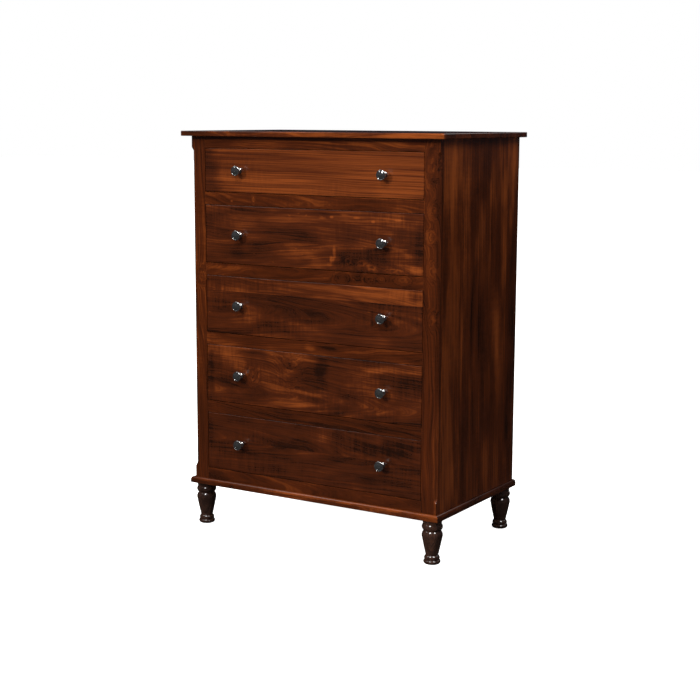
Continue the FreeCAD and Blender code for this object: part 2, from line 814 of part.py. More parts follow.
def make_drawer_sides(number):
    """Left side with tails at both ends, and its mirror image."""
    height = side_height(number)
    back_root_y = drawer_length - s.drawer_back_thickness
    body = body_at(f"Side{number}", drawer_x, front_y, drawer_floor(number))
    blank = plane_sketch(body, f"Side{number}Blank", "YZ_Plane")
    draw_outline(blank, [
        ((drawer_length, ZERO),),
        ((drawer_length, back_board_z),),
        ((back_root_y, back_board_z),),
        ((back_root_y, height),),
        ((s.drawer_front_thickness, height),),
        ((s.drawer_front_thickness, ZERO),),
    ])
    feature(body, "Pad", blank, s.drawer_side_thickness)
    rows = (
        ("Front", front_joint_levels(number), s.drawer_front_thickness, s.dovetail_lap, half_blind_length),
        ("Back", (back_board_z, height), back_root_y, drawer_length, s.drawer_back_thickness),
    )
    for end, (low, high), root_y, tip_y, length in rows:
        count, pitch = dovetail_row(low, high)
        tail = plane_sketch(body, f"Side{number}{end}Tail", "YZ_Plane")
        draw_outline(tail, tail_outline(root_y, tip_y, length, low + pitch / 2, pitch, ZERO))
        pad = feature(body, "Pad", tail, s.drawer_side_thickness)
        repeat_up(body, pad, tail, pitch, count)
    groove = plane_sketch(body, f"Side{number}Groove", "YZ_Plane", s.drawer_side_thickness)
    low_z = s.drawer_bottom_lift - s.joint_clearance
    draw_outline(groove, rectangle((s.dovetail_lap, low_z), (drawer_length, low_z + groove_height)))
    feature(body, "Pocket", groove, s.drawer_groove_depth)
    sub_part(body, f"drawer_{number}_left_side")
    sub_part(mirrored(f"RightSide{number}", body), f"drawer_{number}_right_side")


def make_drawer_back(number):
    """Board over the bottom's rear edge, with through sockets for the sides' tails."""
    height = side_height(number) - back_board_z
    body = body_at(f"Back{number}", drawer_x, front_y + drawer_length - s.drawer_back_thickness,
                   drawer_floor(number) + back_board_z)
    blank = plane_sketch(body, f"Back{number}Blank", "XZ_Plane")
    draw_outline(blank, rectangle((ZERO, ZERO), (drawer_width, height)))
    feature(body, "Pad", blank, s.drawer_back_thickness, reversed_way=True)
    count, pitch = dovetail_row(ZERO, height)
    outline = tail_outline(ZERO, s.drawer_back_thickness, s.drawer_back_thickness, pitch / 2, pitch,
                           s.joint_clearance)
    sockets(body, f"Back{number}", outline, pitch, count)
    sub_part(body, f"drawer_{number}_back")


def make_drawer_bottom(number):
    """Thin panel in the grooves of front and sides, under the back."""
    start_y = s.drawer_front_thickness - s.drawer_groove_depth + s.joint_clearance
    start_x = groove_inset + s.joint_clearance
    size = (drawer_width - 2 * start_x, drawer_length - start_y, s.drawer_bottom_thickness)
    corner = (drawer_x + start_x, front_y + start_y, drawer_floor(number) + s.drawer_bottom_lift)
    sub_part(box(f"Bottom{number}", size, corner), f"drawer_{number}_bottom")


def make_knobs(number):
    """Two knobs, each bored at the back for a screw that comes through the drawer front."""
    bore_radius = s.knob_screw_radius + s.joint_clearance
    knob_outline = [((bore_radius, s.knob_bore_depth),), ((bore_radius, ZERO),)]
    knob_outline += scaled_outline(KNOB_OUTLINE_SHARES, s.knob_radius, s.knob_reach)
    knob_outline += [((ZERO, s.knob_bore_depth),)]
    head_z = s.knob_screw_head_height
    screw_length = head_z + s.drawer_front_thickness + s.knob_bore_depth - s.knob_bore_spare
    screw_outline = scaled_outline(SCREW_HEAD_OUTLINE_SHARES, s.knob_screw_head_radius, head_z) + [
        ((s.knob_screw_radius, head_z),),
        ((s.knob_screw_radius, screw_length),),
        ((ZERO, screw_length),),
        ((ZERO, ZERO),),
    ]
    bottom_z, top_z = front_levels(number)
    middle_z = drawer_floor(number) + (bottom_z + top_z) / 2
    screw_y = front_y + s.drawer_front_thickness + head_z
    knobs = []
    screws = []
    for side, x in (("left", -s.knob_spread / 2), ("right", s.knob_spread / 2)):
        knobs.append(turned(f"Knob{number}_{side}", knob_outline, x, front_y, middle_z,
                            TIPPED_FORWARD))
        screw = turned(f"KnobScrew{number}_{side}", screw_outline, x, screw_y, middle_z, TIPPED_FORWARD)
        slot_head(screw, screw.Name, s.knob_screw_head_radius, s.knob_screw_slot_width,
                  s.knob_screw_slot_depth)
        screws.append(screw)
    sub_part(group(f"Knobs{number}", knobs), f"drawer_{number}_knobs")
    sub_part(group(f"KnobScrews{number}", screws), f"drawer_{number}_knob_screws")


# The whole chest

make_top_panel()
make_side_panels()
make_stiles()
make_rails()
make_back_panel()
make_web_frames()
make_guides_and_stops()
make_base_front()
make_base_sides()
make_base_back()
make_base_screws()
make_feet()
for drawer_number in range(1, DRAWERS + 1):
    make_drawer_front(drawer_number)
    make_drawer_sides(drawer_number)
    make_drawer_back(drawer_number)
    make_drawer_bottom(drawer_number)
    make_knobs(drawer_number)
doc.recompute()

# Checks, then one file for each sub-part

for made in doc.Objects:
    if "Invalid" in made.State or "Error" in made.State:
        raise RuntimeError(f"{made.Label} did not compute: {made.State}")
for piece in sub_parts:
    if piece.Shape.isNull() or not piece.Shape.isValid():
        raise RuntimeError(f"{piece.Label} has no valid shape")

os.makedirs("parts", exist_ok=True)
for piece in sub_parts:
    piece.Shape.exportStep(os.path.join("parts", f"{piece.Label}.step"))
    print(f"{piece.Label}: {len(piece.Shape.Solids)} solid, {piece.Shape.Volume / 1000:.1f} cm3")
print(f"{len(sub_parts)} sub-parts")
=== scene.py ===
"""Looks of a five-drawer chest: stained wood outside, bare wood inside, polished knobs and small nails."""

import math

import bpy
from bpy.props import FloatProperty, FloatVectorProperty, PointerProperty, StringProperty
from mathutils import Matrix, Vector


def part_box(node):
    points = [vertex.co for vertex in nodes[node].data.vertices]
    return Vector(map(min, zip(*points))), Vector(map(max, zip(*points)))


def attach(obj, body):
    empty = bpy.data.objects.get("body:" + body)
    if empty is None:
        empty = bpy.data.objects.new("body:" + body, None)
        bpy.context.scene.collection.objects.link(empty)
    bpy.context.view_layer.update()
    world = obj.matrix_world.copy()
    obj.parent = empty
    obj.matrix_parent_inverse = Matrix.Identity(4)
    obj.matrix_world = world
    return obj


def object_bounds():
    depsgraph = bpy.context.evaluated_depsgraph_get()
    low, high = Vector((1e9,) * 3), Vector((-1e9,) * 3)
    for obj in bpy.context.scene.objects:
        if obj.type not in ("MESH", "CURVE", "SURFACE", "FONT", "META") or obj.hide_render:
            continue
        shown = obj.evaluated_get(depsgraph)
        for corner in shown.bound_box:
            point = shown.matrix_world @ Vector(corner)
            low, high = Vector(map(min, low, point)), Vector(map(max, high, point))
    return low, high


bl_info = {
    "name": "Five-drawer chest",
    "version": (1, 0, 0),
    "blender": (4, 5, 0),
    "location": "3D View > Sidebar > Chest",
    "description": "Finishes the wood and metal of a chest of drawers and sets it on a studio floor",
    "category": "Object",
}

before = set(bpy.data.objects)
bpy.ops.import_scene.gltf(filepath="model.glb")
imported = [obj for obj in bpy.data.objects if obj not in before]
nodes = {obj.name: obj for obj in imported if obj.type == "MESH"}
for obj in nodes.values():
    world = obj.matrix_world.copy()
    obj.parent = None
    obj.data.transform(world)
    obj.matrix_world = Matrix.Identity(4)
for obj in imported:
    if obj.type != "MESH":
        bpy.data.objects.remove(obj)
cad_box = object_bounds()
DRAWERS = range(1, 6)

X, Y, Z = (1.0, 0.0, 0.0), (0.0, 1.0, 0.0), (0.0, 0.0, 1.0)
ORIGIN, UNIT = (0.0, 0.0, 0.0), (1.0, 1.0, 1.0)
DOWN, ON_FACE = (0.0, 0.0, -1.0), (1.0, 1.0, 0.0)
BLACK, WHITE = (0.0, 0.0, 0.0, 1.0), (1.0, 1.0, 1.0, 1.0)

# Each node's seed moves its grain to wood of its own, and boards of one face lie within a step of it
seeds = {name: 1.0 + index for index, name in enumerate(sorted(nodes))}
BOARD_SEED_STEP = 9.0
RING_SEED_STEP = 7.7
SEED_OFFSET = (5.31, 3.17, 4.73)

# How often noise turns in a metre along the grain, across it and into the board
WARP = (1.6, 6.0, 6.0)
BLOTCHES = (4.5, 17.0, 17.0)
BROAD_BLOTCHES = (1.8, 6.0, 6.0)
FINE_STREAKS = (4.0, 320.0, 50.0)
OPEN_PORES = (80.0, 2400.0, 900.0)
RIPPLES = (120.0, 13.0, 13.0)
RIPPLED_AREAS = (2.6, 9.0, 9.0)
FLECKS = (55.0, 170.0, 170.0)
FLECKED_AREAS = (3.1, 8.0, 8.0)
PATCH_OUTLINES = (9.0, 30.0, 30.0)
KNOT_OUTLINES = (90.0, 90.0, 90.0)
RUBBED_AREAS = (35.0, 35.0, 35.0)

# The same for metal and the floor, along X, Y and Z
FINGERMARKS = (160.0, 160.0, 160.0)
SCRATCHES = (3000.0, 400.0, 3000.0)
FLOOR_SPECKS = (3.0, 3.0, 3.0)

# How strongly noise moves the outline of a patch and of a knot, in shares of its half sizes
PATCH_RAGGED, KNOT_RAGGED = 1.5, 1.4

# How dark a knot's heart is beside its pale rim, and how far the grain bends round it
KNOT_HEART, KNOT_BEND = 1.7, 0.03

# How far apart the piths of two boards may lie
PITH_SPREAD = 0.12

# What wear, pores, blotches, rings and streaks do to the stain and its surface. Worn edges are lightened
# partly by real wear and partly as a painted highlight along the arrises
WEAR_AND_HIGHLIGHT_TONE, WORN_ROUGHNESS = 0.45, 0.12
PORE_DARKNESS, BLOTCH_ROUGHNESS = 0.4, 0.08
RING_HEIGHT, STREAK_HEIGHT = 0.4, 0.3
GRAIN_DEPTH = 0.0004

# What marks and scratches do to metal
METAL_EDGE, SCRATCH_DEPTH = 0.0004, 0.0001
TARNISH, SCRATCH_ROUGHNESS, SCRATCH_BUMP = 0.35, 0.04, 0.08

# The parts of wood's figure, each from 0 to 1, and those that change the tone both ways
FIGURE = ("Rings", "Clouds", "Streaks", "Pores", "Curl", "Flecks")
SWINGING = ("Rings", "Clouds", "Streaks", "Curl")


# Node trees

SOCKETS = {"value": "NodeSocketFloat", "vector": "NodeSocketVector", "colour": "NodeSocketColor"}
groups = {}


class Tree:
    """A node tree with short ways to add nodes and feed their inputs."""

    def __init__(self, data):
        self.data = data

    def feed(self, socket, value):
        if isinstance(value, bpy.types.NodeSocket):
            self.data.links.new(value, socket)
        elif isinstance(value, bpy.types.Node):
            self.data.links.new(value.outputs[0], socket)
        else:
            socket.default_value = value

    def node(self, kind, inputs=None, **settings):
        made = self.data.nodes.new(kind)
        for name, value in settings.items():
            setattr(made, name, value)
        for key, value in (inputs or {}).items():
            self.feed(made.inputs[key], value)
        return made

    def group(self, make, inputs):
        """A shader group with its inputs fed. It is built when it is first asked for."""
        if make not in groups:
            groups[make] = make()
        return self.node("ShaderNodeGroup", inputs, node_tree=groups[make].data)

    def math(self, operation, *values, clamp=False):
        made = self.node("ShaderNodeMath", dict(enumerate(values)), operation=operation, use_clamp=clamp)
        return made.outputs[0]

    def add_share(self, total, value, share, clamp=False):
        """A total with a share of a value added to it."""
        return self.math("ADD", total, self.math("MULTIPLY", value, share), clamp=clamp)

    def swing(self, value, amount):
        """A value from 0 to 1, turned to one about zero and times an amount."""
        return self.math("MULTIPLY", self.math("SUBTRACT", value, 0.5), amount)

    def vector(self, operation, *values):
        made = self.node("ShaderNodeVectorMath", dict(enumerate(values)), operation=operation)
        return made.outputs["Value" if operation in ("DOT_PRODUCT", "LENGTH") else "Vector"]

    def scaled(self, vector, factor):
        made = self.node("ShaderNodeVectorMath", {0: vector, "Scale": factor}, operation="SCALE")
        return made.outputs["Vector"]

    def noise(self, vector, turns, detail, roughness=0.5, distortion=0.0, output="Fac"):
        """Noise that turns so often in a metre each way."""
        made = self.node("ShaderNodeTexNoise", {
            "Vector": self.vector("MULTIPLY", vector, turns), "Scale": 1.0, "Detail": detail,
            "Roughness": roughness, "Distortion": distortion})
        return made.outputs[output]

    def wobble(self, vector, turns, detail):
        """Noise in three directions, about zero."""
        return self.vector("SUBTRACT", self.noise(vector, turns, detail, output="Color"), (0.5, 0.5, 0.5))

    def between(self, value, low, high, to_low=0.0, to_high=1.0):
        """Value carried smoothly from one range to another."""
        made = self.node("ShaderNodeMapRange", {
            "Value": value, "From Min": low, "From Max": high, "To Min": to_low, "To Max": to_high},
            interpolation_type="SMOOTHSTEP")
        return made.outputs["Result"]

    def mix(self, factor, first, second):
        made = self.node("ShaderNodeMix", data_type="RGBA")
        for name, value in (("Factor_Float", factor), ("A_Color", first), ("B_Color", second)):
            self.feed(next(socket for socket in made.inputs if socket.identifier == name), value)
        return next(socket for socket in made.outputs if socket.identifier == "Result_Color")


def new_group(name, inputs, outputs):
    """An empty shader group as a Tree, with what it is given and what it puts out."""
    data = bpy.data.node_groups.new(name, "ShaderNodeTree")
    for label, kind, default in inputs:
        socket = data.interface.new_socket(label, in_out="INPUT", socket_type=SOCKETS[kind])
        if default is not None:
            socket.default_value = default
    for label, kind in outputs:
        data.interface.new_socket(label, in_out="OUTPUT", socket_type=SOCKETS[kind])
    return Tree(data), data.nodes.new("NodeGroupInput").outputs, data.nodes.new("NodeGroupOutput").inputs


def grain_space_group():
    """Object coordinates seen from one board: X along its grain, Y across its face, Z into it."""
    tree, given, out = new_group(
        "Grain space",
        [("Centre", "vector", ORIGIN), ("Along", "vector", X), ("Across", "vector", Z)],
        [("Vector", "vector")])
    place = tree.node("ShaderNodeTexCoord").outputs["Object"]
    place = tree.vector("SUBTRACT", place, given["Centre"])
    deep = tree.vector("CROSS_PRODUCT", given["Along"], given["Across"])
    tree.feed(out["Vector"], tree.node("ShaderNodeCombineXYZ", {
        "X": tree.vector("DOT_PRODUCT", place, given["Along"]),
        "Y": tree.vector("DOT_PRODUCT", place, given["Across"]),
        "Z": tree.vector("DOT_PRODUCT", place, deep)}))
    return tree


SPOT_INPUTS = [("Vector", "vector", ORIGIN), ("Centre", "vector", ORIGIN), ("Size", "vector", UNIT),
               ("Strength", "value", 0.2)]


def away_from_spot(tree, given, ragged):
    """Distance over the face from a spot's centre, in its half sizes, with a ragged outline."""
    place = tree.vector("DIVIDE", tree.vector("SUBTRACT", given["Vector"], given["Centre"]), given["Size"])
    return tree.vector("LENGTH", tree.vector("MULTIPLY", tree.vector("ADD", place, ragged), ON_FACE))


def patch_group():
    """A soft lighter or darker patch, with a ragged edge, at a place on the face."""
    tree, given, out = new_group("Stain patch", SPOT_INPUTS, [("Tone", "value")])
    ragged = tree.scaled(tree.wobble(given["Vector"], PATCH_OUTLINES, 3.0), PATCH_RAGGED)
    near = tree.between(away_from_spot(tree, given, ragged), 1.25, 0.35)
    tree.feed(out["Tone"], tree.math("MULTIPLY", near, given["Strength"]))
    return tree


def knot_group():
    """A small knot: the grain flows round it, with a pale rim about a dark heart."""
    tree, given, out = new_group("Knot", SPOT_INPUTS, [("Tone", "value"), ("Bend", "vector")])
    ragged = tree.scaled(tree.wobble(given["Vector"], KNOT_OUTLINES, 2.0), KNOT_RAGGED)
    away = away_from_spot(tree, given, ragged)
    heart = tree.math("MULTIPLY", tree.between(away, 0.55, 0.25), KNOT_HEART)
    tone = tree.math("SUBTRACT", tree.between(away, 1.1, 0.6), heart)
    tree.feed(out["Tone"], tree.math("MULTIPLY", tone, given["Strength"]))
    bend = tree.math("MULTIPLY", tree.between(away, 3.0, 0.0), KNOT_BEND)
    tree.feed(out["Bend"], tree.node("ShaderNodeCombineXYZ", {"Z": bend}))
    return tree


def figure_group():
    """Figure of one board: ring bands, blotchy clouds, fine streaks, pores, curl and flecks."""
    tree, given, out = new_group(
        "Wood figure",
        [("Vector", "vector", ORIGIN), ("Seed", "value", 1.0), ("Ring Spacing", "value", 0.006),
         ("Wander", "value", 0.03), ("Taper", "value", 0.02), ("Pith Depth", "value", 0.06),
         ("Pith Across", "value", 0.0), ("Length", "value", 1.0)],
        [(part, "value") for part in FIGURE])
    vector, seed = given["Vector"], given["Seed"]
    offset = tree.scaled(SEED_OFFSET, seed)
    own = tree.vector("ADD", vector, offset)
    drawn_out = tree.vector("MULTIPLY", own, tree.node("ShaderNodeCombineXYZ", {
        "X": tree.math("DIVIDE", 1.0, given["Length"]), "Y": 1.0, "Z": 1.0}))
    chance = tree.node("ShaderNodeTexWhiteNoise", {"W": seed}, noise_dimensions="1D").outputs["Value"]

    # Distance from the middle of the trunk, bent as trunks grow
    bent = tree.vector("ADD", vector, tree.scaled(tree.wobble(own, WARP, 3.0), given["Wander"]))
    place = tree.node("ShaderNodeSeparateXYZ", {0: bent}).outputs
    across = tree.math("ADD", place["Y"], tree.swing(chance, PITH_SPREAD))
    across = tree.math("ADD", across, given["Pith Across"])
    deep = tree.math("ADD", place["Z"], given["Pith Depth"])
    radius = tree.math("SQRT", tree.add_share(tree.math("MULTIPLY", across, across), deep, deep))
    radius = tree.add_share(radius, place["X"], given["Taper"])
    ring = tree.add_share(tree.math("DIVIDE", radius, given["Ring Spacing"]), seed, RING_SEED_STEP)
    bands = tree.node("ShaderNodeTexNoise", {"W": ring, "Scale": 1.0, "Detail": 4.0, "Roughness": 0.7},
                      noise_dimensions="1D").outputs["Fac"]
    tree.feed(out["Rings"], tree.between(bands, 0.3, 0.7))

    clouds = tree.math("MULTIPLY", tree.noise(drawn_out, BLOTCHES, 3.0, 0.5, 0.5), 0.6)
    clouds = tree.add_share(clouds, tree.noise(own, BROAD_BLOTCHES, 1.0), 0.4)
    tree.feed(out["Clouds"], tree.between(clouds, 0.32, 0.68))

    along = tree.math("DIVIDE", place["X"], given["Length"])
    flow = tree.vector("ADD", tree.node("ShaderNodeCombineXYZ", {"X": along, "Y": radius, "Z": deep}), offset)
    tree.feed(out["Streaks"], tree.between(tree.noise(flow, FINE_STREAKS, 4.0, 0.75), 0.34, 0.66))
    tree.feed(out["Pores"], tree.between(tree.noise(flow, OPEN_PORES, 1.0), 0.62, 0.78))

    where = tree.between(tree.noise(own, RIPPLED_AREAS, 1.0), 0.45, 0.60)
    ripples = tree.noise(own, RIPPLES, 2.0, distortion=0.4)
    tree.feed(out["Curl"], tree.math("ADD", 0.5, tree.swing(ripples, where)))

    where = tree.between(tree.noise(own, FLECKED_AREAS, 1.0), 0.50, 0.62)
    flecks = tree.between(tree.noise(own, FLECKS, 1.0), 0.70, 0.80)
    tree.feed(out["Flecks"], tree.math("MULTIPLY", flecks, where))
    return tree


def stain_group():
    """Colour, roughness and height of wood from its tone and figure."""
    tree, given, out = new_group(
        "Wood stain",
        [("Tone", "value", 0.5), ("Worn", "value", 0.0), ("Roughness", "value", 0.4),
         *((part, "value", 0.5) for part in FIGURE),
         *((f"{part} Strength", "value", 0.2) for part in (*SWINGING, "Flecks")),
         *((shade, "colour", None) for shade in ("Dark", "Middle", "Light"))],
        [("Color", "colour"), ("Roughness", "value"), ("Height", "value")])
    tone = given["Tone"]
    for part in SWINGING:
        tone = tree.math("ADD", tone, tree.swing(given[part], given[f"{part} Strength"]))
    tone = tree.add_share(tone, given["Flecks"], given["Flecks Strength"])
    # Edges in the mask are lightened: partly real wear, partly a painted highlight where light catches the
    # arrises
    tone = tree.add_share(tone, given["Worn"], WEAR_AND_HIGHLIGHT_TONE, clamp=True)

    # The lower half of the tone runs from dark to middle, and the upper half from middle to light
    lower = tree.math("MULTIPLY", tone, 2.0, clamp=True)
    upper = tree.math("SUBTRACT", tree.math("MULTIPLY", tone, 2.0), 1.0, clamp=True)
    colour = tree.mix(upper, tree.mix(lower, given["Dark"], given["Middle"]), given["Light"])
    colour = tree.mix(tree.math("MULTIPLY", given["Pores"], PORE_DARKNESS), colour, given["Dark"])
    tree.feed(out["Color"], colour)

    rough = tree.math("ADD", given["Roughness"], tree.swing(given["Clouds"], BLOTCH_ROUGHNESS))
    tree.feed(out["Roughness"], tree.add_share(rough, given["Worn"], WORN_ROUGHNESS))
    height = tree.math("MULTIPLY", given["Rings"], RING_HEIGHT)
    height = tree.add_share(height, given["Streaks"], STREAK_HEIGHT)
    tree.feed(out["Height"], tree.math("SUBTRACT", height, given["Pores"]))
    return tree


def edge_group():
    """Softened edges: the normal of a slightly rounded edge, and a patchy mask where use wears it, which also
    marks where a painted highlight lightens the edges.
    """
    tree, given, out = new_group(
        "Edge wear",
        [("Vector", "vector", ORIGIN), ("Radius", "value", 0.001)],
        [("Worn", "value"), ("Normal", "vector")])
    soft = tree.node("ShaderNodeBevel", {"Radius": given["Radius"]}, samples=4).outputs["Normal"]
    sharp = tree.node("ShaderNodeNewGeometry").outputs["Normal"]
    bend = tree.math("SUBTRACT", 1.0, tree.vector("DOT_PRODUCT", soft, sharp))
    patchy = tree.between(tree.noise(given["Vector"], RUBBED_AREAS, 3.0), 0.35, 0.65, 0.35, 1.0)
    tree.feed(out["Worn"], tree.math("MULTIPLY", tree.between(bend, 0.01, 0.2), patchy))
    tree.feed(out["Normal"], soft)
    return tree


def handled_group():
    """Fine scratches and fingermarks on polished metal, each 0 to 1."""
    tree, given, out = new_group(
        "Handled metal",
        [("Scale", "value", 1.0)],
        [("Marks", "value"), ("Scratches", "value")])
    place = tree.scaled(tree.node("ShaderNodeTexCoord").outputs["Object"], given["Scale"])
    tree.feed(out["Marks"], tree.between(tree.noise(place, FINGERMARKS, 4.0, 0.6), 0.42, 0.7))
    tree.feed(out["Scratches"], tree.between(tree.noise(place, SCRATCHES, 2.0), 0.55, 0.75))
    return tree


def new_material(name, **constants):
    """A material, its Tree and its Principled shader with constant inputs set."""
    material = bpy.data.materials.new(name)
    material.use_nodes = True
    material.node_tree.nodes.clear()
    tree = Tree(material.node_tree)
    surface = tree.node("ShaderNodeBsdfPrincipled")
    for socket, value in constants.items():
        surface.inputs[socket.replace("_", " ")].default_value = value
    tree.node("ShaderNodeOutputMaterial", {"Surface": surface.outputs["BSDF"]})
    return material, tree, surface


def dress(name, material):
    """Puts a material in every slot of a CAD node."""
    slots = nodes[name].material_slots
    for place in slots:
        place.material = material
    if not slots:
        nodes[name].data.materials.append(material)


def colour_of(prop):
    """A colour setting with nothing of it see-through."""
    return (*prop, 1.0)


# What settings of one kind have in common
COLOUR = dict(subtype="COLOR", size=3, min=0, max=1)
SHARE = dict(subtype="FACTOR", min=0, max=1)
LENGTH = dict(subtype="DISTANCE", unit="LENGTH", precision=4)


# Wood

def board_tones(tree, place, boards, width):
    """Tone of each board across a face of glued boards, and a share that tells one board from the next."""
    share = tree.math("DIVIDE", tree.node("ShaderNodeSeparateXYZ", {0: place}).outputs["Y"], width)
    ramp = tree.node("ShaderNodeValToRGB", {"Fac": tree.math("ADD", share, 0.5)})
    stops = ramp.color_ramp.elements
    ramp.color_ramp.interpolation = "CONSTANT"
    start = 0.0
    for number, (end, tone) in enumerate(boards):
        stop = stops.new(start) if number else stops[0]
        stop.position = start
        stop.color = (tone, number / len(boards), 0.0, 1.0)
        start = end
    stops.remove(stops[-1])
    board = tree.node("ShaderNodeSeparateColor", {0: ramp}).outputs
    return board["Red"], board["Green"]


def wood(name, finish, along, across, tone=0.5, boards=(), patches=(), knots=(), curl=1.0, clouds=1.0,
         rings=1.0, streaks=1.0, flecks=1.0, spacing=1.0, taper=1.0, wander=1.0, haze=1.0, length=1.0,
         pith_across=0.0):
    """Finishes a node in wood.

    Boards are (end share, tone) from the low side. Patches and knots are (along, across, long, wide, tone)
    from the middle of the face, in shares of its half sizes. The values from curl to haze multiply the
    finish's own, and length draws the figure out. The further the pith lies across the face, the straighter
    and finer the grain.
    """
    low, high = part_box(name)
    half = (high - low) / 2
    half_along = abs(half.dot(Vector(along)))
    half_across = abs(half.dot(Vector(across)))
    material, tree, surface = new_material(
        f"{name}_{finish.label}", Coat_Weight=finish.coat, Coat_Roughness=finish.coat_roughness * haze,
        Coat_IOR=finish.coat_ior, Specular_IOR_Level=finish.wood_sheen)
    place = tree.group(grain_space_group, {"Centre": (low + high) / 2, "Along": along, "Across": across})

    def spot(x, y, long, wide, strength):
        return {"Vector": place, "Centre": (x * half_along, y * half_across, 0.0),
                "Size": (long * half_along, wide * half_across, 1.0), "Strength": strength}

    seed = seeds[name]
    if boards:
        tone, number = board_tones(tree, place, boards, 2 * half_across)
        seed = tree.add_share(seed, number, BOARD_SEED_STEP)
    for shares in patches:
        tone = tree.math("ADD", tone, tree.group(patch_group, spot(*shares)))
    flowing = place
    for shares in knots:
        knot = tree.group(knot_group, spot(*shares))
        tone = tree.math("ADD", tone, knot.outputs["Tone"])
        flowing = tree.vector("ADD", flowing, knot.outputs["Bend"])
    figure = tree.group(figure_group, {
        "Vector": flowing, "Seed": seed, "Ring Spacing": finish.ring_spacing * spacing,
        "Wander": finish.wander * wander, "Taper": finish.taper * taper, "Pith Depth": finish.pith_depth,
        "Pith Across": pith_across, "Length": length})
    edge = tree.group(edge_group, {"Vector": place, "Radius": finish.edge_radius})
    stain = tree.group(stain_group, {
        "Tone": tone, "Worn": edge.outputs["Worn"], "Roughness": finish.roughness,
        "Rings Strength": finish.rings * rings, "Clouds Strength": finish.clouds * clouds,
        "Streaks Strength": finish.streaks * streaks, "Curl Strength": finish.curl * curl,
        "Flecks Strength": finish.flecks * flecks, "Dark": colour_of(finish.dark),
        "Middle": colour_of(finish.middle), "Light": colour_of(finish.light),
        **{part: figure.outputs[part] for part in FIGURE}})
    bump = tree.node("ShaderNodeBump", {
        "Strength": finish.relief, "Distance": GRAIN_DEPTH, "Height": stain.outputs["Height"],
        "Normal": edge.outputs["Normal"]})
    tree.feed(surface.inputs["Base Color"], stain.outputs["Color"])
    tree.feed(surface.inputs["Roughness"], stain.outputs["Roughness"])
    tree.feed(surface.inputs["Normal"], bump)
    dress(name, material)


class WoodFinish(bpy.types.PropertyGroup):
    """How one kind of wood is coloured and coated."""

    label: StringProperty(name="Label", description="Ending of the materials' names", default="stained")
    dark: FloatVectorProperty(
        name="Dark", description="Stain where it sinks in deepest", default=(0.011, 0.0029, 0.0011),
        **COLOUR)
    middle: FloatVectorProperty(
        name="Middle", description="Usual stain", default=(0.058, 0.0112, 0.0020), **COLOUR)
    light: FloatVectorProperty(
        name="Light", description="Stain where it takes least", default=(0.22, 0.048, 0.007), **COLOUR)
    rings: FloatProperty(name="Rings", description="How far the rings change the tone", default=0.16)
    clouds: FloatProperty(name="Clouds", description="How far the blotches change the tone", default=0.40)
    streaks: FloatProperty(name="Streaks", description="How far fine streaks change the tone", default=0.32)
    curl: FloatProperty(name="Curl", description="How far curly figure changes the tone", default=0.26)
    flecks: FloatProperty(name="Flecks", description="How far pale flecks change the tone", default=0.30)
    ring_spacing: FloatProperty(
        name="Ring spacing", description="Width of a pair of bands", default=0.007, **LENGTH)
    wander: FloatProperty(
        name="Wander", description="How far the grain leaves a straight line", default=0.05, **LENGTH)
    taper: FloatProperty(name="Taper", description="Slope of the rings along the board", default=0.03)
    pith_depth: FloatProperty(
        name="Pith depth", description="How far behind the face the tree's middle lay", default=0.07,
        **LENGTH)
    roughness: FloatProperty(
        name="Roughness", description="Of the wood under its coat", default=0.42, **SHARE)
    wood_sheen: FloatProperty(
        name="Wood sheen", description="Gloss of the wood under its coat", default=0.08, **SHARE)
    coat: FloatProperty(
        name="Lacquer", description="How much clear coat covers the wood", default=0.9, **SHARE)
    coat_roughness: FloatProperty(
        name="Lacquer roughness", description="Low is glossy", default=0.15, **SHARE)
    coat_ior: FloatProperty(
        name="Lacquer index", description="How strongly the lacquer mirrors", min=1, max=2, default=1.6)
    edge_radius: FloatProperty(
        name="Edge radius", description="Softening of sharp edges", default=0.0014, **LENGTH)
    relief: FloatProperty(
        name="Relief", description="How much of the grain can be felt", default=0.10, **SHARE)


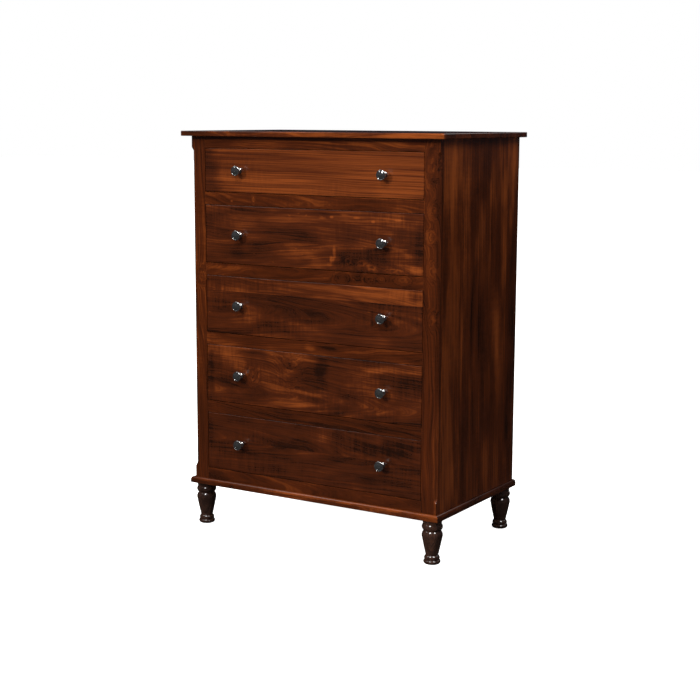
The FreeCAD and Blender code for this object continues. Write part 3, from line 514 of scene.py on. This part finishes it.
# Stained fronts, from drawer 1 at the top to drawer 5: boards from the lower edge up, patches and knots
FRONTS = {
    1: dict(tone=0.64, clouds=0.6, rings=0.8, streaks=1.15, curl=0.6, flecks=0.3, taper=0.4, wander=0.6,
            length=3.0, pith_across=0.25, patches=[
        (-1.0, -0.1, 0.15, 1.5, -0.34), (-0.85, -0.9, 0.2, 0.2, -0.1), (-0.13, -0.37, 0.36, 0.07, 0.14),
        (0.8, -0.7, 0.25, 0.3, 0.10), (0.1, 0.5, 0.5, 0.08, 0.08), (0.4, 0.2, 0.5, 0.06, 0.07),
        (-0.5, 0.85, 0.3, 0.1, -0.08)]),
    2: dict(boards=[(0.42, 0.42), (1.0, 0.38)], curl=1.9, clouds=1.4, streaks=0.85, patches=[
        (0.6, 0.75, 0.22, 0.18, 0.14), (-0.15, 0.2, 0.4, 0.4, -0.14), (0.37, 0.1, 0.17, 0.35, -0.16),
        (-0.08, -0.54, 0.32, 0.28, 0.24), (-0.9, -0.6, 0.13, 0.2, 0.12), (-0.7, -0.57, 0.08, 0.38, -0.1),
        (-0.62, 0.1, 0.3, 0.3, -0.10), (-0.9, 0.3, 0.2, 0.6, -0.18), (0.31, -0.53, 0.06, 0.2, -0.18),
        (0.49, -0.7, 0.07, 0.12, 0.22), (0.82, -0.4, 0.12, 0.36, 0.32), (0.94, -0.78, 0.07, 0.15, 0.34),
        (0.97, 0.05, 0.04, 0.6, -0.14), (0.226, -0.40, 0.018, 0.20, 0.34),
        (0.202, -0.62, 0.024, 0.12, 0.34), (0.185, -0.80, 0.03, 0.10, 0.22), (0.20, 0.77, 0.02, 0.05, 0.34),
        (0.42, 0.78, 0.03, 0.05, 0.28), (0.57, 0.68, 0.02, 0.06, 0.36), (0.78, 0.75, 0.04, 0.05, 0.28),
        (0.32, 0.86, 0.05, 0.04, 0.22), (0.11, 0.72, 0.04, 0.04, 0.24), (0.1, -0.8, 0.12, 0.16, 0.16),
        (0.55, -0.84, 0.45, 0.12, 0.14)], knots=[
        (0.347, -0.67, 0.03, 0.12, 0.16), (0.47, -0.70, 0.05, 0.12, 0.16), (0.56, -0.81, 0.04, 0.14, 0.20),
        (0.73, -0.88, 0.08, 0.10, 0.16)]),
    3: dict(boards=[(0.74, 0.38), (1.0, 0.50)], curl=2.0, clouds=1.15, streaks=0.9, patches=[
        (0.6, 0.76, 0.45, 0.14, 0.12), (-0.6, 0.15, 0.34, 0.24, -0.14), (-0.88, -0.8, 0.16, 0.16, 0.14),
        (-0.2, -0.8, 0.5, 0.13, -0.1), (0.67, -0.15, 0.14, 0.4, 0.06), (-0.85, 0.1, 0.16, 0.5, -0.14),
        (0.94, 0.8, 0.07, 0.25, -0.2), (-0.1, 0.78, 0.3, 0.16, 0.10)]),
    4: dict(boards=[(0.40, 0.43), (1.0, 0.43)], curl=1.5, clouds=1.5, patches=[
        (-0.35, 0.74, 0.08, 0.24, 0.22), (-0.1, 0.84, 0.13, 0.3, 0.16), (0.11, 0.6, 0.07, 0.5, -0.26),
        (-0.8, -0.3, 0.12, 0.4, -0.10), (0.65, 0.74, 0.33, 0.2, 0.22), (-0.97, 0.0, 0.04, 1.1, -0.22),
        (-0.55, -0.2, 0.3, 0.5, 0.06), (0.0, -0.23, 0.23, 0.15, -0.12), (0.4, -0.1, 0.17, 0.2, -0.16),
        (0.9, 0.1, 0.16, 0.5, -0.14), (0.6, -0.66, 0.2, 0.17, 0.22), (-0.2, -0.7, 0.2, 0.2, 0.08),
        (-0.7, 0.4, 0.1, 0.2, 0.10), (-0.92, 0.6, 0.09, 0.5, -0.18), (0.55, 0.78, 0.2, 0.2, 0.18),
        (-0.3, 0.3, 0.25, 0.22, 0.12), (-0.65, -0.5, 0.16, 0.4, 0.08)], knots=[
        (-0.55, 0.0, 0.03, 0.16, 0.2), (-0.19, 0.5, 0.06, 0.3, 0.12)]),
    5: dict(boards=[(0.55, 0.29), (1.0, 0.30)], curl=1.6, clouds=1.1, streaks=0.8, patches=[
        (-0.27, 0.8, 0.18, 0.3, -0.14), (-0.3, 0.0, 0.18, 0.45, -0.1), (0.11, 0.42, 0.13, 0.38, 0.14),
        (0.26, 0.6, 0.07, 0.5, -0.14), (0.6, 0.85, 0.08, 0.18, 0.12), (0.84, 0.6, 0.14, 0.28, -0.16),
        (-0.98, 0.3, 0.04, 0.7, -0.12), (0.65, 0.2, 0.08, 0.2, 0.08), (0.25, -0.25, 0.4, 0.3, -0.12),
        (0.55, 0.78, 0.16, 0.16, 0.12), (0.8, -0.75, 0.2, 0.16, 0.10)]),
}

# Rails of the face frame from the top down, with patches and knots as on the fronts
RAILS = {
    # The top rail's patch is painted light: it lightens the rail just below the shadow that the top's
    # overhang casts
    "top_rail": dict(tone=0.42, patches=[(0.0, 0.1, 3.0, 0.5, 0.10)]),
    "divider_rail_1": dict(tone=0.40, patches=[
        (-0.8, 0.0, 0.2, 0.8, -0.12), (0.5, 0.0, 0.4, 0.6, 0.06)], knots=[
        (-0.5, 0.1, 0.008, 0.5, 0.22), (-0.7, -0.3, 0.006, 0.16, 0.22), (0.17, -0.3, 0.010, 0.2, 0.2)]),
    "divider_rail_2": dict(tone=0.44, patches=[
        (-0.67, 0.4, 0.34, 0.55, 0.2), (-0.16, 0.0, 0.18, 0.5, 0.1), (0.4, 0.0, 0.3, 0.7, -0.16)], knots=[
        (0.28, 0.0, 0.04, 0.6, 0.05), (0.51, 0.25, 0.03, 0.4, 0.06), (0.61, 0.25, 0.02, 0.3, 0.06),
        (0.78, 0.3, 0.04, 0.4, 0.05)]),
    "divider_rail_3": dict(tone=0.40, patches=[
        (0.0, 0.1, 0.06, 0.8, 0.22), (0.15, 0.3, 0.09, 1.1, -0.22), (0.36, 0.4, 0.14, 0.5, 0.1)]),
    "divider_rail_4": dict(tone=0.38, patches=[(-0.5, 0.0, 0.4, 0.8, -0.06)]),
    "bottom_rail": dict(tone=0.38, rings=0.4, clouds=0.7, patches=[(-0.75, 0.0, 0.35, 2.0, -0.10)]),
}

# Side panels: boards from the front edge to the back, and patches up the height and across the depth
SIDE_BOARDS = [(0.23, 0.55), (0.26, 0.44), (0.46, 0.43), (0.62, 0.41), (0.84, 0.54), (1.0, 0.48)]
# The patch near the top that spans the whole depth is painted light: it makes the upper part of each side
# lighter, as where light falls on it
SIDE_PATCHES = [
    (0.0, -0.15, 0.3, 0.24, -0.12), (0.86, 0.12, 0.10, 0.16, -0.16), (0.72, -0.02, 0.07, 0.2, -0.14),
    (0.8, 0.7, 0.25, 0.16, 0.14), (0.35, 0.62, 0.25, 0.08, 0.12), (-0.35, 0.55, 0.3, 0.10, 0.10),
    (0.2, 0.92, 0.5, 0.14, -0.16), (0.9, 0.88, 0.15, 0.10, 0.14), (0.55, -0.75, 0.3, 0.14, 0.06),
    (-0.75, -0.1, 0.2, 0.4, 0.07), (-0.15, 0.3, 0.2, 0.1, -0.10), (-0.6, 0.2, 0.12, 0.12, -0.10),
    (0.5, 0.2, 0.12, 0.10, -0.10), (0.88, -0.2, 0.25, 1.4, 0.10), (-0.9, 0.0, 0.25, 1.6, 0.06),
    (0.45, -0.5, 0.12, 0.2, -0.10), (0.1, -0.7, 0.2, 0.15, 0.08), (-0.3, -0.85, 0.2, 0.12, -0.10),
    (0.25, 0.45, 0.2, 0.14, -0.08), (0.82, -0.7, 0.22, 0.22, 0.12), (0.05, 0.95, 0.5, 0.2, -0.16),
    (-0.7, 0.95, 0.6, 0.24, -0.16), (0.62, 0.3, 0.15, 0.1, 0.08), (0.75, 0.42, 0.12, 0.1, -0.12),
    (0.35, 0.05, 0.14, 0.1, 0.06), (0.43, -0.62, 0.22, 0.4, 0.15), (-0.62, -0.82, 0.36, 0.24, -0.10),
    (-0.66, 0.45, 0.2, 0.12, 0.12), (0.95, -0.62, 0.08, 0.3, 0.12), (0.92, 0.5, 0.10, 0.14, 0.15),
    (0.75, 0.4, 0.12, 0.26, 0.16)]

# Small knots up each corner post
STILE_KNOTS = {
    "left": [(0.2, 0.2, 0.03, 0.4, 0.05)],
    "right": [
        (0.86, -0.1, 0.05, 0.5, 0.10), (0.63, 0.1, 0.025, 0.4, 0.10), (0.49, -0.1, 0.02, 0.35, 0.08),
        (0.31, 0.0, 0.03, 0.4, 0.08), (0.05, 0.1, 0.03, 0.4, 0.08)],
}

# The top's boards from front to back, the back's from left to right, and patches along the edges. The top's
# patches paint a highlight along its front edge, faint at the left end and strongest near the right; its
# boards behind the front one are stained darker, partly as painted shade for the dim look of the top at a
# glancing view
TOP_BOARDS = [(0.3, 0.26), (0.55, 0.32), (0.8, 0.24), (1.0, 0.28)]
TOP_EDGE_PAINTED_HIGHLIGHT = [(0.0, -1.0, 3.0, 0.05, 0.32), (-0.8, -1.0, 0.5, 0.05, -0.14), (0.85, -1.0, 0.25, 0.05, 0.25)]
# On the front moulding: a painted highlight along its upper rounding and at its right corner, a darker left
# part and a slightly lighter right part
BASE_FRONT_TONES_AND_HIGHLIGHTS = [(0.0, 0.75, 3.0, 0.5, 0.25), (-0.8, 0.0, 0.6, 6.0, -0.34), (0.6, -0.6, 0.4, 1.2, 0.08),
                (1.0, 0.0, 0.12, 6.0, 0.15)]
# On the end mouldings: a painted highlight along the upper part near the front
BASE_END_PAINTED_HIGHLIGHT = [(-0.8, 0.75, 0.6, 0.5, 0.25)]
BACK_BOARDS = [(0.26, 0.45), (0.5, 0.55), (0.75, 0.48), (1.0, 0.58)]


class CHEST_OT_finish_case(bpy.types.Operator):
    """Stains and lacquers the top, sides, face frame and base"""

    bl_idname = "chest.finish_case"
    bl_label = "Case"

    def execute(self, context):
        stain = context.scene.chest_stain
        wood("top_panel", stain, X, Y, haze=0.35, boards=TOP_BOARDS, patches=TOP_EDGE_PAINTED_HIGHLIGHT)
        for side in ("left", "right"):
            wood(f"{side}_side_panel", stain, Z, Y, boards=SIDE_BOARDS, patches=SIDE_PATCHES, clouds=1.2,
                 rings=0.6, streaks=1.1, curl=0.8, flecks=0.0, spacing=0.8, length=1.5, pith_across=0.35)
            wood(f"{side}_front_stile", stain, Z, X, tone=0.41, clouds=0.9, rings=0.35, streaks=1.3,
                 flecks=0.2, taper=1.2, wander=1.2, length=2.0, pith_across=0.06, knots=STILE_KNOTS[side])
        for name, look in RAILS.items():
            wood(name, stain, X, Z, **look)
        wood("base_front_moulding", stain, X, Z, tone=0.51, clouds=0.5, rings=0.4, patches=BASE_FRONT_TONES_AND_HIGHLIGHTS)
        for side in ("left", "right"):
            wood(f"base_{side}_moulding", stain, Y, Z, tone=0.20, clouds=0.4, rings=0.4,
                 patches=BASE_END_PAINTED_HIGHLIGHT)
        wood("base_back_board", stain, X, Y, tone=0.3)
        return {"FINISHED"}


class CHEST_OT_finish_fronts(bpy.types.Operator):
    """Stains and lacquers the five drawer fronts, each from boards of its own"""

    bl_idname = "chest.finish_fronts"
    bl_label = "Drawer fronts"

    def execute(self, context):
        for number, look in FRONTS.items():
            wood(f"drawer_{number}_front", context.scene.chest_stain, X, Z, haze=1.6, **look)
        return {"FINISHED"}


class CHEST_OT_finish_feet(bpy.types.Operator):
    """Stains the turned feet nearly black and gives them a glossier coat"""

    bl_idname = "chest.finish_feet"
    bl_label = "Feet"

    def execute(self, context):
        for side in ("left", "right"):
            for end in ("front", "back"):
                wood(f"{end}_{side}_foot", context.scene.chest_foot_stain, Z, X, tone=0.4)
        return {"FINISHED"}


class CHEST_OT_finish_inside(bpy.types.Operator):
    """Leaves the drawer boxes, web frames, guides and stops in bare wood"""

    bl_idname = "chest.finish_inside"
    bl_label = "Bare wood"

    def execute(self, context):
        bare = context.scene.chest_bare
        wood("web_frame_rear_rails", bare, X, Z)
        for name in ("web_frame_side_rails", "drawer_guides", "drawer_stops"):
            wood(name, bare, Y, Z)
        for number in DRAWERS:
            wood(f"drawer_{number}_left_side", bare, Y, Z, tone=0.56)
            wood(f"drawer_{number}_right_side", bare, Y, Z, tone=0.5)
            wood(f"drawer_{number}_back", bare, X, Z, tone=0.46)
        return {"FINISHED"}


class CHEST_OT_finish_panels(bpy.types.Operator):
    """Gives the back panel and drawer bottoms the face of sanded plywood"""

    bl_idname = "chest.finish_panels"
    bl_label = "Panels"

    def execute(self, context):
        ply = context.scene.chest_ply
        wood("back_panel", ply, Z, X, boards=BACK_BOARDS)
        for number in DRAWERS:
            wood(f"drawer_{number}_bottom", ply, X, Y, tone=0.5)
        return {"FINISHED"}


# Metal

class MetalFinish(bpy.types.PropertyGroup):
    """How one kind of metal is coloured and polished."""

    colour: FloatVectorProperty(
        name="Colour", description="Of the clean metal", default=(0.46, 0.46, 0.45), **COLOUR)
    dull: FloatVectorProperty(
        name="Dull", description="Where it is tarnished", default=(0.20, 0.20, 0.19), **COLOUR)
    # The share that is not bare metal is a dull grey film: partly grime, partly a painted reflection that
    # lightens the knobs' dark side
    metallic: FloatProperty(
        name="Bare metal", description="The rest is a thin film of grime", default=0.96, **SHARE)
    roughness: FloatProperty(name="Roughness", description="Low is polished", default=0.04, **SHARE)
    marks: FloatProperty(name="Marks", description="Extra roughness of fingermarks", default=0.06, **SHARE)


def metal(name, finish):
    """A polished or plated metal with marks and fine scratches."""
    material, tree, surface = new_material(name, Metallic=finish.metallic)
    handled = tree.group(handled_group, {"Scale": 1.0}).outputs
    edge = tree.group(edge_group, {
        "Vector": tree.node("ShaderNodeTexCoord").outputs["Object"], "Radius": METAL_EDGE})
    tarnish = tree.math("MULTIPLY", handled["Marks"], TARNISH)
    colour = tree.mix(tarnish, colour_of(finish.colour), colour_of(finish.dull))
    rough = tree.add_share(finish.roughness, handled["Marks"], finish.marks)
    rough = tree.add_share(rough, handled["Scratches"], SCRATCH_ROUGHNESS)
    bump = tree.node("ShaderNodeBump", {
        "Strength": SCRATCH_BUMP, "Distance": SCRATCH_DEPTH, "Height": handled["Scratches"],
        "Normal": edge.outputs["Normal"]})
    tree.feed(surface.inputs["Base Color"], colour)
    tree.feed(surface.inputs["Roughness"], rough)
    tree.feed(surface.inputs["Normal"], bump)
    return material


class CHEST_OT_finish_metal(bpy.types.Operator):
    """Polishes the knobs and plates the screws"""

    bl_idname = "chest.finish_metal"
    bl_label = "Knobs and screws"

    def execute(self, context):
        knobs = metal("polished_knob_metal", context.scene.chest_knob_metal)
        screws = metal("plated_screw_metal", context.scene.chest_screw_metal)
        for number in DRAWERS:
            dress(f"drawer_{number}_knobs", knobs)
            dress(f"drawer_{number}_knob_screws", screws)
        dress("base_screws", screws)
        return {"FINISHED"}


# Nails

# A head's corners round its rim and rings across it, and how far its dome falls as a share of its height
HEAD_CORNERS, HEAD_RINGS = 20, 3
DOME_SHARE = 0.45

# A row under a drawer starts this many edge distances in from the side of its bottom
ROW_INSET = 4


class NailSizes(bpy.types.PropertyGroup):
    """Sizes of the nails that hold the thin panels."""

    head_radius: FloatProperty(
        name="Head radius", description="Of a nail's flat head", default=0.0030, **LENGTH)
    head_height: FloatProperty(
        name="Head height", description="How far a head stands proud", default=0.0008, **LENGTH)
    spacing: FloatProperty(name="Spacing", description="From nail to nail", default=0.15, **LENGTH)
    edge: FloatProperty(
        name="From the edge", description="From the panel's edge to a nail", default=0.009, **LENGTH)


def nail_tree():
    """A small domed head at even steps along each line it is given."""
    data = bpy.data.node_groups.new("Nails along a line", "GeometryNodeTree")
    data.is_modifier = True
    for label, kind in (("Geometry", "Geometry"), ("Spacing", "Float"), ("Head Radius", "Float"),
                        ("Head Height", "Float"), ("Facing", "Vector"), ("Finish", "Material")):
        data.interface.new_socket(label, in_out="INPUT", socket_type=f"NodeSocket{kind}")
    data.interface.new_socket("Geometry", in_out="OUTPUT", socket_type="NodeSocketGeometry")
    tree = Tree(data)
    given = data.nodes.new("NodeGroupInput").outputs
    line = tree.node("GeometryNodeMeshToCurve", {"Mesh": given["Geometry"]})
    places = tree.node("GeometryNodeResampleCurve", {"Curve": line, "Length": given["Spacing"]},
                       mode="LENGTH")
    head = tree.node("GeometryNodeMeshCylinder", {
        "Vertices": HEAD_CORNERS, "Side Segments": 1, "Fill Segments": HEAD_RINGS,
        "Radius": given["Head Radius"], "Depth": given["Head Height"]}, fill_type="TRIANGLE_FAN")

    # The upper face falls with the square of the distance from its middle
    place = tree.node("ShaderNodeSeparateXYZ", {0: tree.node("GeometryNodeInputPosition")}).outputs
    away = tree.add_share(tree.math("MULTIPLY", place["X"], place["X"]), place["Y"], place["Y"])
    away = tree.math("DIVIDE", away, tree.math("MULTIPLY", given["Head Radius"], given["Head Radius"]))
    drop = tree.math("MULTIPLY", tree.math("MULTIPLY", away, given["Head Height"]), -DOME_SHARE)
    upper = tree.node("FunctionNodeCompare", {0: place["Z"], 1: 0.0}, data_type="FLOAT",
                      operation="GREATER_THAN")
    head = tree.node("GeometryNodeSetPosition", {
        "Geometry": head, "Selection": upper, "Offset": tree.node("ShaderNodeCombineXYZ", {"Z": drop})})

    turn = tree.node("FunctionNodeAlignRotationToVector", {"Vector": given["Facing"]}, axis="Z")
    nails = tree.node("GeometryNodeInstanceOnPoints", {"Points": places, "Instance": head, "Rotation": turn})
    nails = tree.node("GeometryNodeRealizeInstances", {"Geometry": nails})
    nails = tree.node("GeometryNodeSetMaterial", {"Geometry": nails, "Material": given["Finish"]})
    tree.feed(data.nodes.new("NodeGroupOutput").inputs["Geometry"], nails)
    return data


def nail_row(name, lines, facing, material, body, tree, sizes):
    """Nail heads along straight lines, turned into one plain mesh that rides on a body."""
    mesh = bpy.data.meshes.new(f"{name}_lines")
    points = [point for line in lines for point in line]
    mesh.from_pydata(points, [(2 * i, 2 * i + 1) for i in range(len(lines))], [])
    guide = bpy.data.objects.new(f"{name}_guide", mesh)
    bpy.context.scene.collection.objects.link(guide)
    rows = guide.modifiers.new("Nails", "NODES")
    rows.node_group = tree
    values = {"Spacing": sizes.spacing, "Head Radius": sizes.head_radius, "Head Height": sizes.head_height,
              "Facing": facing, "Finish": material}
    for item in tree.interface.items_tree:
        if item.in_out == "INPUT" and item.name in values:
            rows[item.identifier] = values[item.name]
    bpy.context.view_layer.update()
    made = bpy.data.meshes.new_from_object(guide.evaluated_get(bpy.context.evaluated_depsgraph_get()))
    made.name = name
    bpy.data.objects.remove(guide)
    piece = bpy.data.objects.new(name, made)
    bpy.context.scene.collection.objects.link(piece)
    for polygon in made.polygons:
        polygon.use_smooth = True
    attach(piece, body)


class CHEST_OT_add_nails(bpy.types.Operator):
    """Nails the back panel round its edge, and each drawer's bottom to the drawer's back"""

    bl_idname = "chest.add_nails"
    bl_label = "Nails"

    def execute(self, context):
        sizes = context.scene.chest_nails
        steel = metal("nail_steel", context.scene.chest_screw_metal)
        tree = nail_tree()
        low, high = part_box("back_panel")
        left, right = low.x + sizes.edge, high.x - sizes.edge
        bottom, top = low.z + sizes.edge, high.z - sizes.edge
        lines = [((x, high.y, bottom), (x, high.y, top)) for x in (left, right)]
        first, last = left + sizes.spacing, right - sizes.spacing
        lines += [((first, high.y, z), (last, high.y, z)) for z in (bottom, top)]
        nail_row("back_panel_nails", lines, Y, steel, "case", tree, sizes)
        for number in DRAWERS:
            low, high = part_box(f"drawer_{number}_bottom")
            y = sum(corner.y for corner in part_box(f"drawer_{number}_back")) / 2
            inset = ROW_INSET * sizes.edge
            line = ((low.x + inset, y, low.z), (high.x - inset, y, low.z))
            nail_row(f"drawer_{number}_nails", [line], DOWN, steel, f"drawer_{number}", tree, sizes)
        return {"FINISHED"}


# Stage

# The broad front light: degrees round from the front and up, and how wide it looks from the chest
SUN_AZIMUTH, SUN_ELEVATION, SUN_WIDTH = -26, 22, math.radians(8)

# The softboxes: degrees round and up, metres away, width and height
SOFTBOXES = {
    "front": (4, 46, 3.6, 0.8, 1.5),
    "side": (70, 48, 3.4, 0.8, 1.5),
    "left": (-56, 47, 3.6, 1.2, 1.2),
    "back": (160, 36, 3.6, 1.5, 1.3),
    "overhead": (20, 66, 3.2, 3.6, 2.4),
}

# How strongly the floor's specks show, and their colour
SPECK_SHARE, SPECK_COLOUR = 0.03, (0.85, 0.85, 0.85, 1.0)


class StageSizes(bpy.types.PropertyGroup):
    """Camera, floor and lights of the studio."""

    camera_place: FloatVectorProperty(
        name="Camera", description="Where the camera stands", subtype="XYZ", unit="LENGTH", size=3,
        default=(2.422, -3.926, 1.320))
    camera_turn: FloatProperty(
        name="Turn", description="Of the camera to the left of straight ahead", subtype="ANGLE",
        default=math.radians(31.77))
    camera_dip: FloatProperty(
        name="Dip", description="Of the camera below the level", subtype="ANGLE",
        default=math.radians(9.145))
    camera_roll: FloatProperty(
        name="Roll", description="Of the camera about its own axis", subtype="ANGLE",
        default=math.radians(0.216))
    lens: FloatProperty(name="Lens", description="Focal length in millimetres", default=75.03)
    floor_size: FloatProperty(name="Floor", description="Width of the floor", default=60.0, **LENGTH)
    floor_colour: FloatVectorProperty(
        name="Floor colour", description="A plain pale grey", default=(0.96, 0.96, 0.96), **COLOUR)
    floor_bounce: FloatVectorProperty(
        name="Floor bounce", description="Floor colour for the light it throws back",
        default=(0.28, 0.28, 0.28), **COLOUR)
    floor_mirrored: FloatVectorProperty(
        name="Floor in reflections", description="Floor colour that gloss shows",
        default=(0.007, 0.007, 0.007), **COLOUR)
    floor_glow: FloatProperty(
        name="Floor glow", description="Lightens the floor's shadows for the camera", default=1.0)
    room_light: FloatProperty(name="Room light", description="Even light from all round", default=0.32)
    room_mirrored: FloatVectorProperty(
        name="Room in reflections", description="What gloss shows of the dim room",
        default=(0.024, 0.023, 0.028), **COLOUR)
    front_light: FloatProperty(
        name="Front light", description="Strength of the broad light on the drawers", default=2.65)
    front_power: FloatProperty(
        name="Front softbox", description="Power of the softbox before the drawers", subtype="POWER",
        default=62.0)
    side_power: FloatProperty(
        name="Side softbox", description="Power of the softbox at the right", subtype="POWER", default=58.0)
    left_power: FloatProperty(
        name="Left softbox", description="Power of the softbox at the far left", subtype="POWER",
        default=14.0)
    back_power: FloatProperty(
        name="Back softbox", description="Power of the softbox behind the chest", subtype="POWER",
        default=9.0)
    overhead_power: FloatProperty(
        name="Overhead softbox", description="Power of the broad light that gloss shows", subtype="POWER",
        default=16.0)


def lamp(name, kind, azimuth, elevation, energy, target, distance=4.0):
    """A lamp aimed at a point. Azimuth 0 stands in front of the drawers, 90 to their right."""
    turn, rise = math.radians(azimuth), math.radians(elevation)
    back = Vector((math.sin(turn) * math.cos(rise), -math.cos(turn) * math.cos(rise), math.sin(rise)))
    data = bpy.data.lights.new(name, kind)
    data.energy = energy
    made = bpy.data.objects.new(name, data)
    bpy.context.scene.collection.objects.link(made)
    made.location = target + back * distance
    made.rotation_mode = "QUATERNION"
    made.rotation_quaternion = back.to_track_quat("Z", "Y")
    return made


def floor_material(stage):
    """Pale to look at, and dimmer in the light that it throws back and in reflections."""
    material, tree, surface = new_material("studio_floor", Roughness=0.9, Specular_IOR_Level=0.1,
                                           Emission_Strength=stage.floor_glow)
    specks = tree.noise(tree.node("ShaderNodeTexCoord").outputs["Object"], FLOOR_SPECKS, 3.0)
    specks = tree.math("MULTIPLY", specks, SPECK_SHARE)
    pale = tree.mix(specks, colour_of(stage.floor_colour), SPECK_COLOUR)
    path = tree.node("ShaderNodeLightPath").outputs
    dim = tree.mix(path["Is Glossy Ray"], colour_of(stage.floor_bounce), colour_of(stage.floor_mirrored))
    tree.feed(surface.inputs["Base Color"], tree.mix(path["Is Camera Ray"], dim, pale))
    tree.feed(surface.inputs["Emission Color"], tree.mix(path["Is Camera Ray"], BLACK, WHITE))
    return material


def add_floor(stage):
    """A flat square floor under the chest."""
    half = stage.floor_size / 2
    corners = [(-half, -half, 0), (half, -half, 0), (half, half, 0), (-half, half, 0)]
    mesh = bpy.data.meshes.new("floor")
    mesh.from_pydata(corners, [], [(0, 1, 2, 3)])
    mesh.materials.append(floor_material(stage))
    floor = bpy.data.objects.new("floor", mesh)
    bpy.context.scene.collection.objects.link(floor)


def add_lights(stage):
    """One broad low light, and softboxes whose shapes show in polished metal."""
    target = (cad_box[0] + cad_box[1]) / 2
    front = lamp("front_light", "SUN", SUN_AZIMUTH, SUN_ELEVATION, stage.front_light, target)
    front.data.angle = SUN_WIDTH
    front.visible_glossy = False
    for name, (azimuth, elevation, distance, width, height) in SOFTBOXES.items():
        power = getattr(stage, f"{name}_power")
        box = lamp(f"{name}_softbox", "AREA", azimuth, elevation, power, target, distance)
        box.data.shape = "RECTANGLE"
        box.data.size = width
        box.data.size_y = height
        box.visible_camera = False
        box.visible_diffuse = name != "overhead"


def room_world(stage):
    """A white room to the camera, dim in reflections, that lights the chest evenly."""
    world = bpy.data.worlds.new("studio")
    world.use_nodes = True
    world.node_tree.nodes.clear()
    world.cycles.sampling_method = "NONE"
    tree = Tree(world.node_tree)
    path = tree.node("ShaderNodeLightPath").outputs
    room = tree.mix(path["Is Glossy Ray"], colour_of([stage.room_light] * 3), colour_of(stage.room_mirrored))
    room = tree.mix(path["Is Camera Ray"], room, WHITE)
    tree.node("ShaderNodeOutputWorld", {"Surface": tree.node("ShaderNodeBackground", {"Color": room})})
    return world


def add_camera(stage):
    """A camera that stands and looks as the settings say."""
    data = bpy.data.cameras.new("camera")
    data.lens = stage.lens
    camera = bpy.data.objects.new("camera", data)
    bpy.context.scene.collection.objects.link(camera)
    turn = (Matrix.Rotation(stage.camera_turn, 4, "Z")
            @ Matrix.Rotation(math.pi / 2 - stage.camera_dip, 4, "X")
            @ Matrix.Rotation(stage.camera_roll, 4, "Z"))
    camera.matrix_world = Matrix.Translation(stage.camera_place) @ turn
    return camera


class CHEST_OT_set_stage(bpy.types.Operator):
    """Sets the chest on a pale floor under soft lights, with the camera at its front right"""

    bl_idname = "chest.set_stage"
    bl_label = "Studio"

    def execute(self, context):
        scene, stage = context.scene, context.scene.chest_stage
        add_floor(stage)
        add_lights(stage)
        scene.world = room_world(stage)
        scene.camera = add_camera(stage)
        scene.view_settings.view_transform = "Standard"
        return {"FINISHED"}


# Add-on

class CHEST_PT_looks(bpy.types.Panel):
    """Lists the steps that finish the chest."""

    bl_idname = "CHEST_PT_looks"
    bl_label = "Chest"
    bl_space_type = "VIEW_3D"
    bl_region_type = "UI"
    bl_category = "Chest"

    def draw(self, context):
        for step in STEPS:
            self.layout.operator(step.bl_idname)


STEPS = (CHEST_OT_finish_case, CHEST_OT_finish_fronts, CHEST_OT_finish_feet, CHEST_OT_finish_inside,
         CHEST_OT_finish_panels, CHEST_OT_finish_metal, CHEST_OT_add_nails, CHEST_OT_set_stage)
SETTINGS = {"chest_stain": WoodFinish, "chest_foot_stain": WoodFinish, "chest_bare": WoodFinish,
            "chest_ply": WoodFinish, "chest_knob_metal": MetalFinish, "chest_screw_metal": MetalFinish,
            "chest_nails": NailSizes, "chest_stage": StageSizes}
CLASSES = (WoodFinish, MetalFinish, NailSizes, StageSizes, *STEPS, CHEST_PT_looks)

# What each finish changes from the defaults of stained wood or of knob metal
VARIANTS = {
    "chest_foot_stain": dict(label="turned", dark=(0.008, 0.0036, 0.0026), middle=(0.042, 0.019, 0.0122),
                             light=(0.075, 0.026, 0.013), coat=1.0, coat_roughness=0.10, coat_ior=1.8,
                             roughness=0.35, wander=0.02, ring_spacing=0.004),
    "chest_bare": dict(label="bare", dark=(0.26, 0.15, 0.07), middle=(0.42, 0.27, 0.14),
                       light=(0.55, 0.39, 0.23), coat=0.0, wood_sheen=0.4, roughness=0.62, rings=0.35,
                       clouds=0.3, streaks=0.25, curl=0.1, flecks=0.0, relief=0.25, edge_radius=0.0006),
    "chest_ply": dict(label="ply", dark=(0.36, 0.21, 0.10), middle=(0.50, 0.32, 0.165),
                      light=(0.60, 0.42, 0.25), coat=0.0, wood_sheen=0.4, roughness=0.66, ring_spacing=0.016,
                      rings=0.34, clouds=0.2, wander=0.14, pith_depth=0.25, streaks=0.2, curl=0.0, flecks=0.0,
                      relief=0.2, edge_radius=0.0004),
    "chest_screw_metal": dict(colour=(0.50, 0.50, 0.48), dull=(0.24, 0.23, 0.21), roughness=0.30, marks=0.2),
}


def register():
    for item in CLASSES:
        bpy.utils.register_class(item)
    for name, kind in SETTINGS.items():
        setattr(bpy.types.Scene, name, PointerProperty(type=kind))


def unregister():
    for name in SETTINGS:
        delattr(bpy.types.Scene, name)
    for item in reversed(CLASSES):
        bpy.utils.unregister_class(item)


def main():
    register()
    for name, changes in VARIANTS.items():
        for key, value in changes.items():
            setattr(getattr(bpy.context.scene, name), key, value)
    bpy.ops.chest.set_stage()
    bpy.ops.chest.finish_case()
    bpy.ops.chest.finish_fronts()
    bpy.ops.chest.finish_feet()
    bpy.ops.chest.finish_inside()
    bpy.ops.chest.finish_panels()
    bpy.ops.chest.finish_metal()
    bpy.ops.chest.add_nails()


if __name__ == "__main__":
    main()
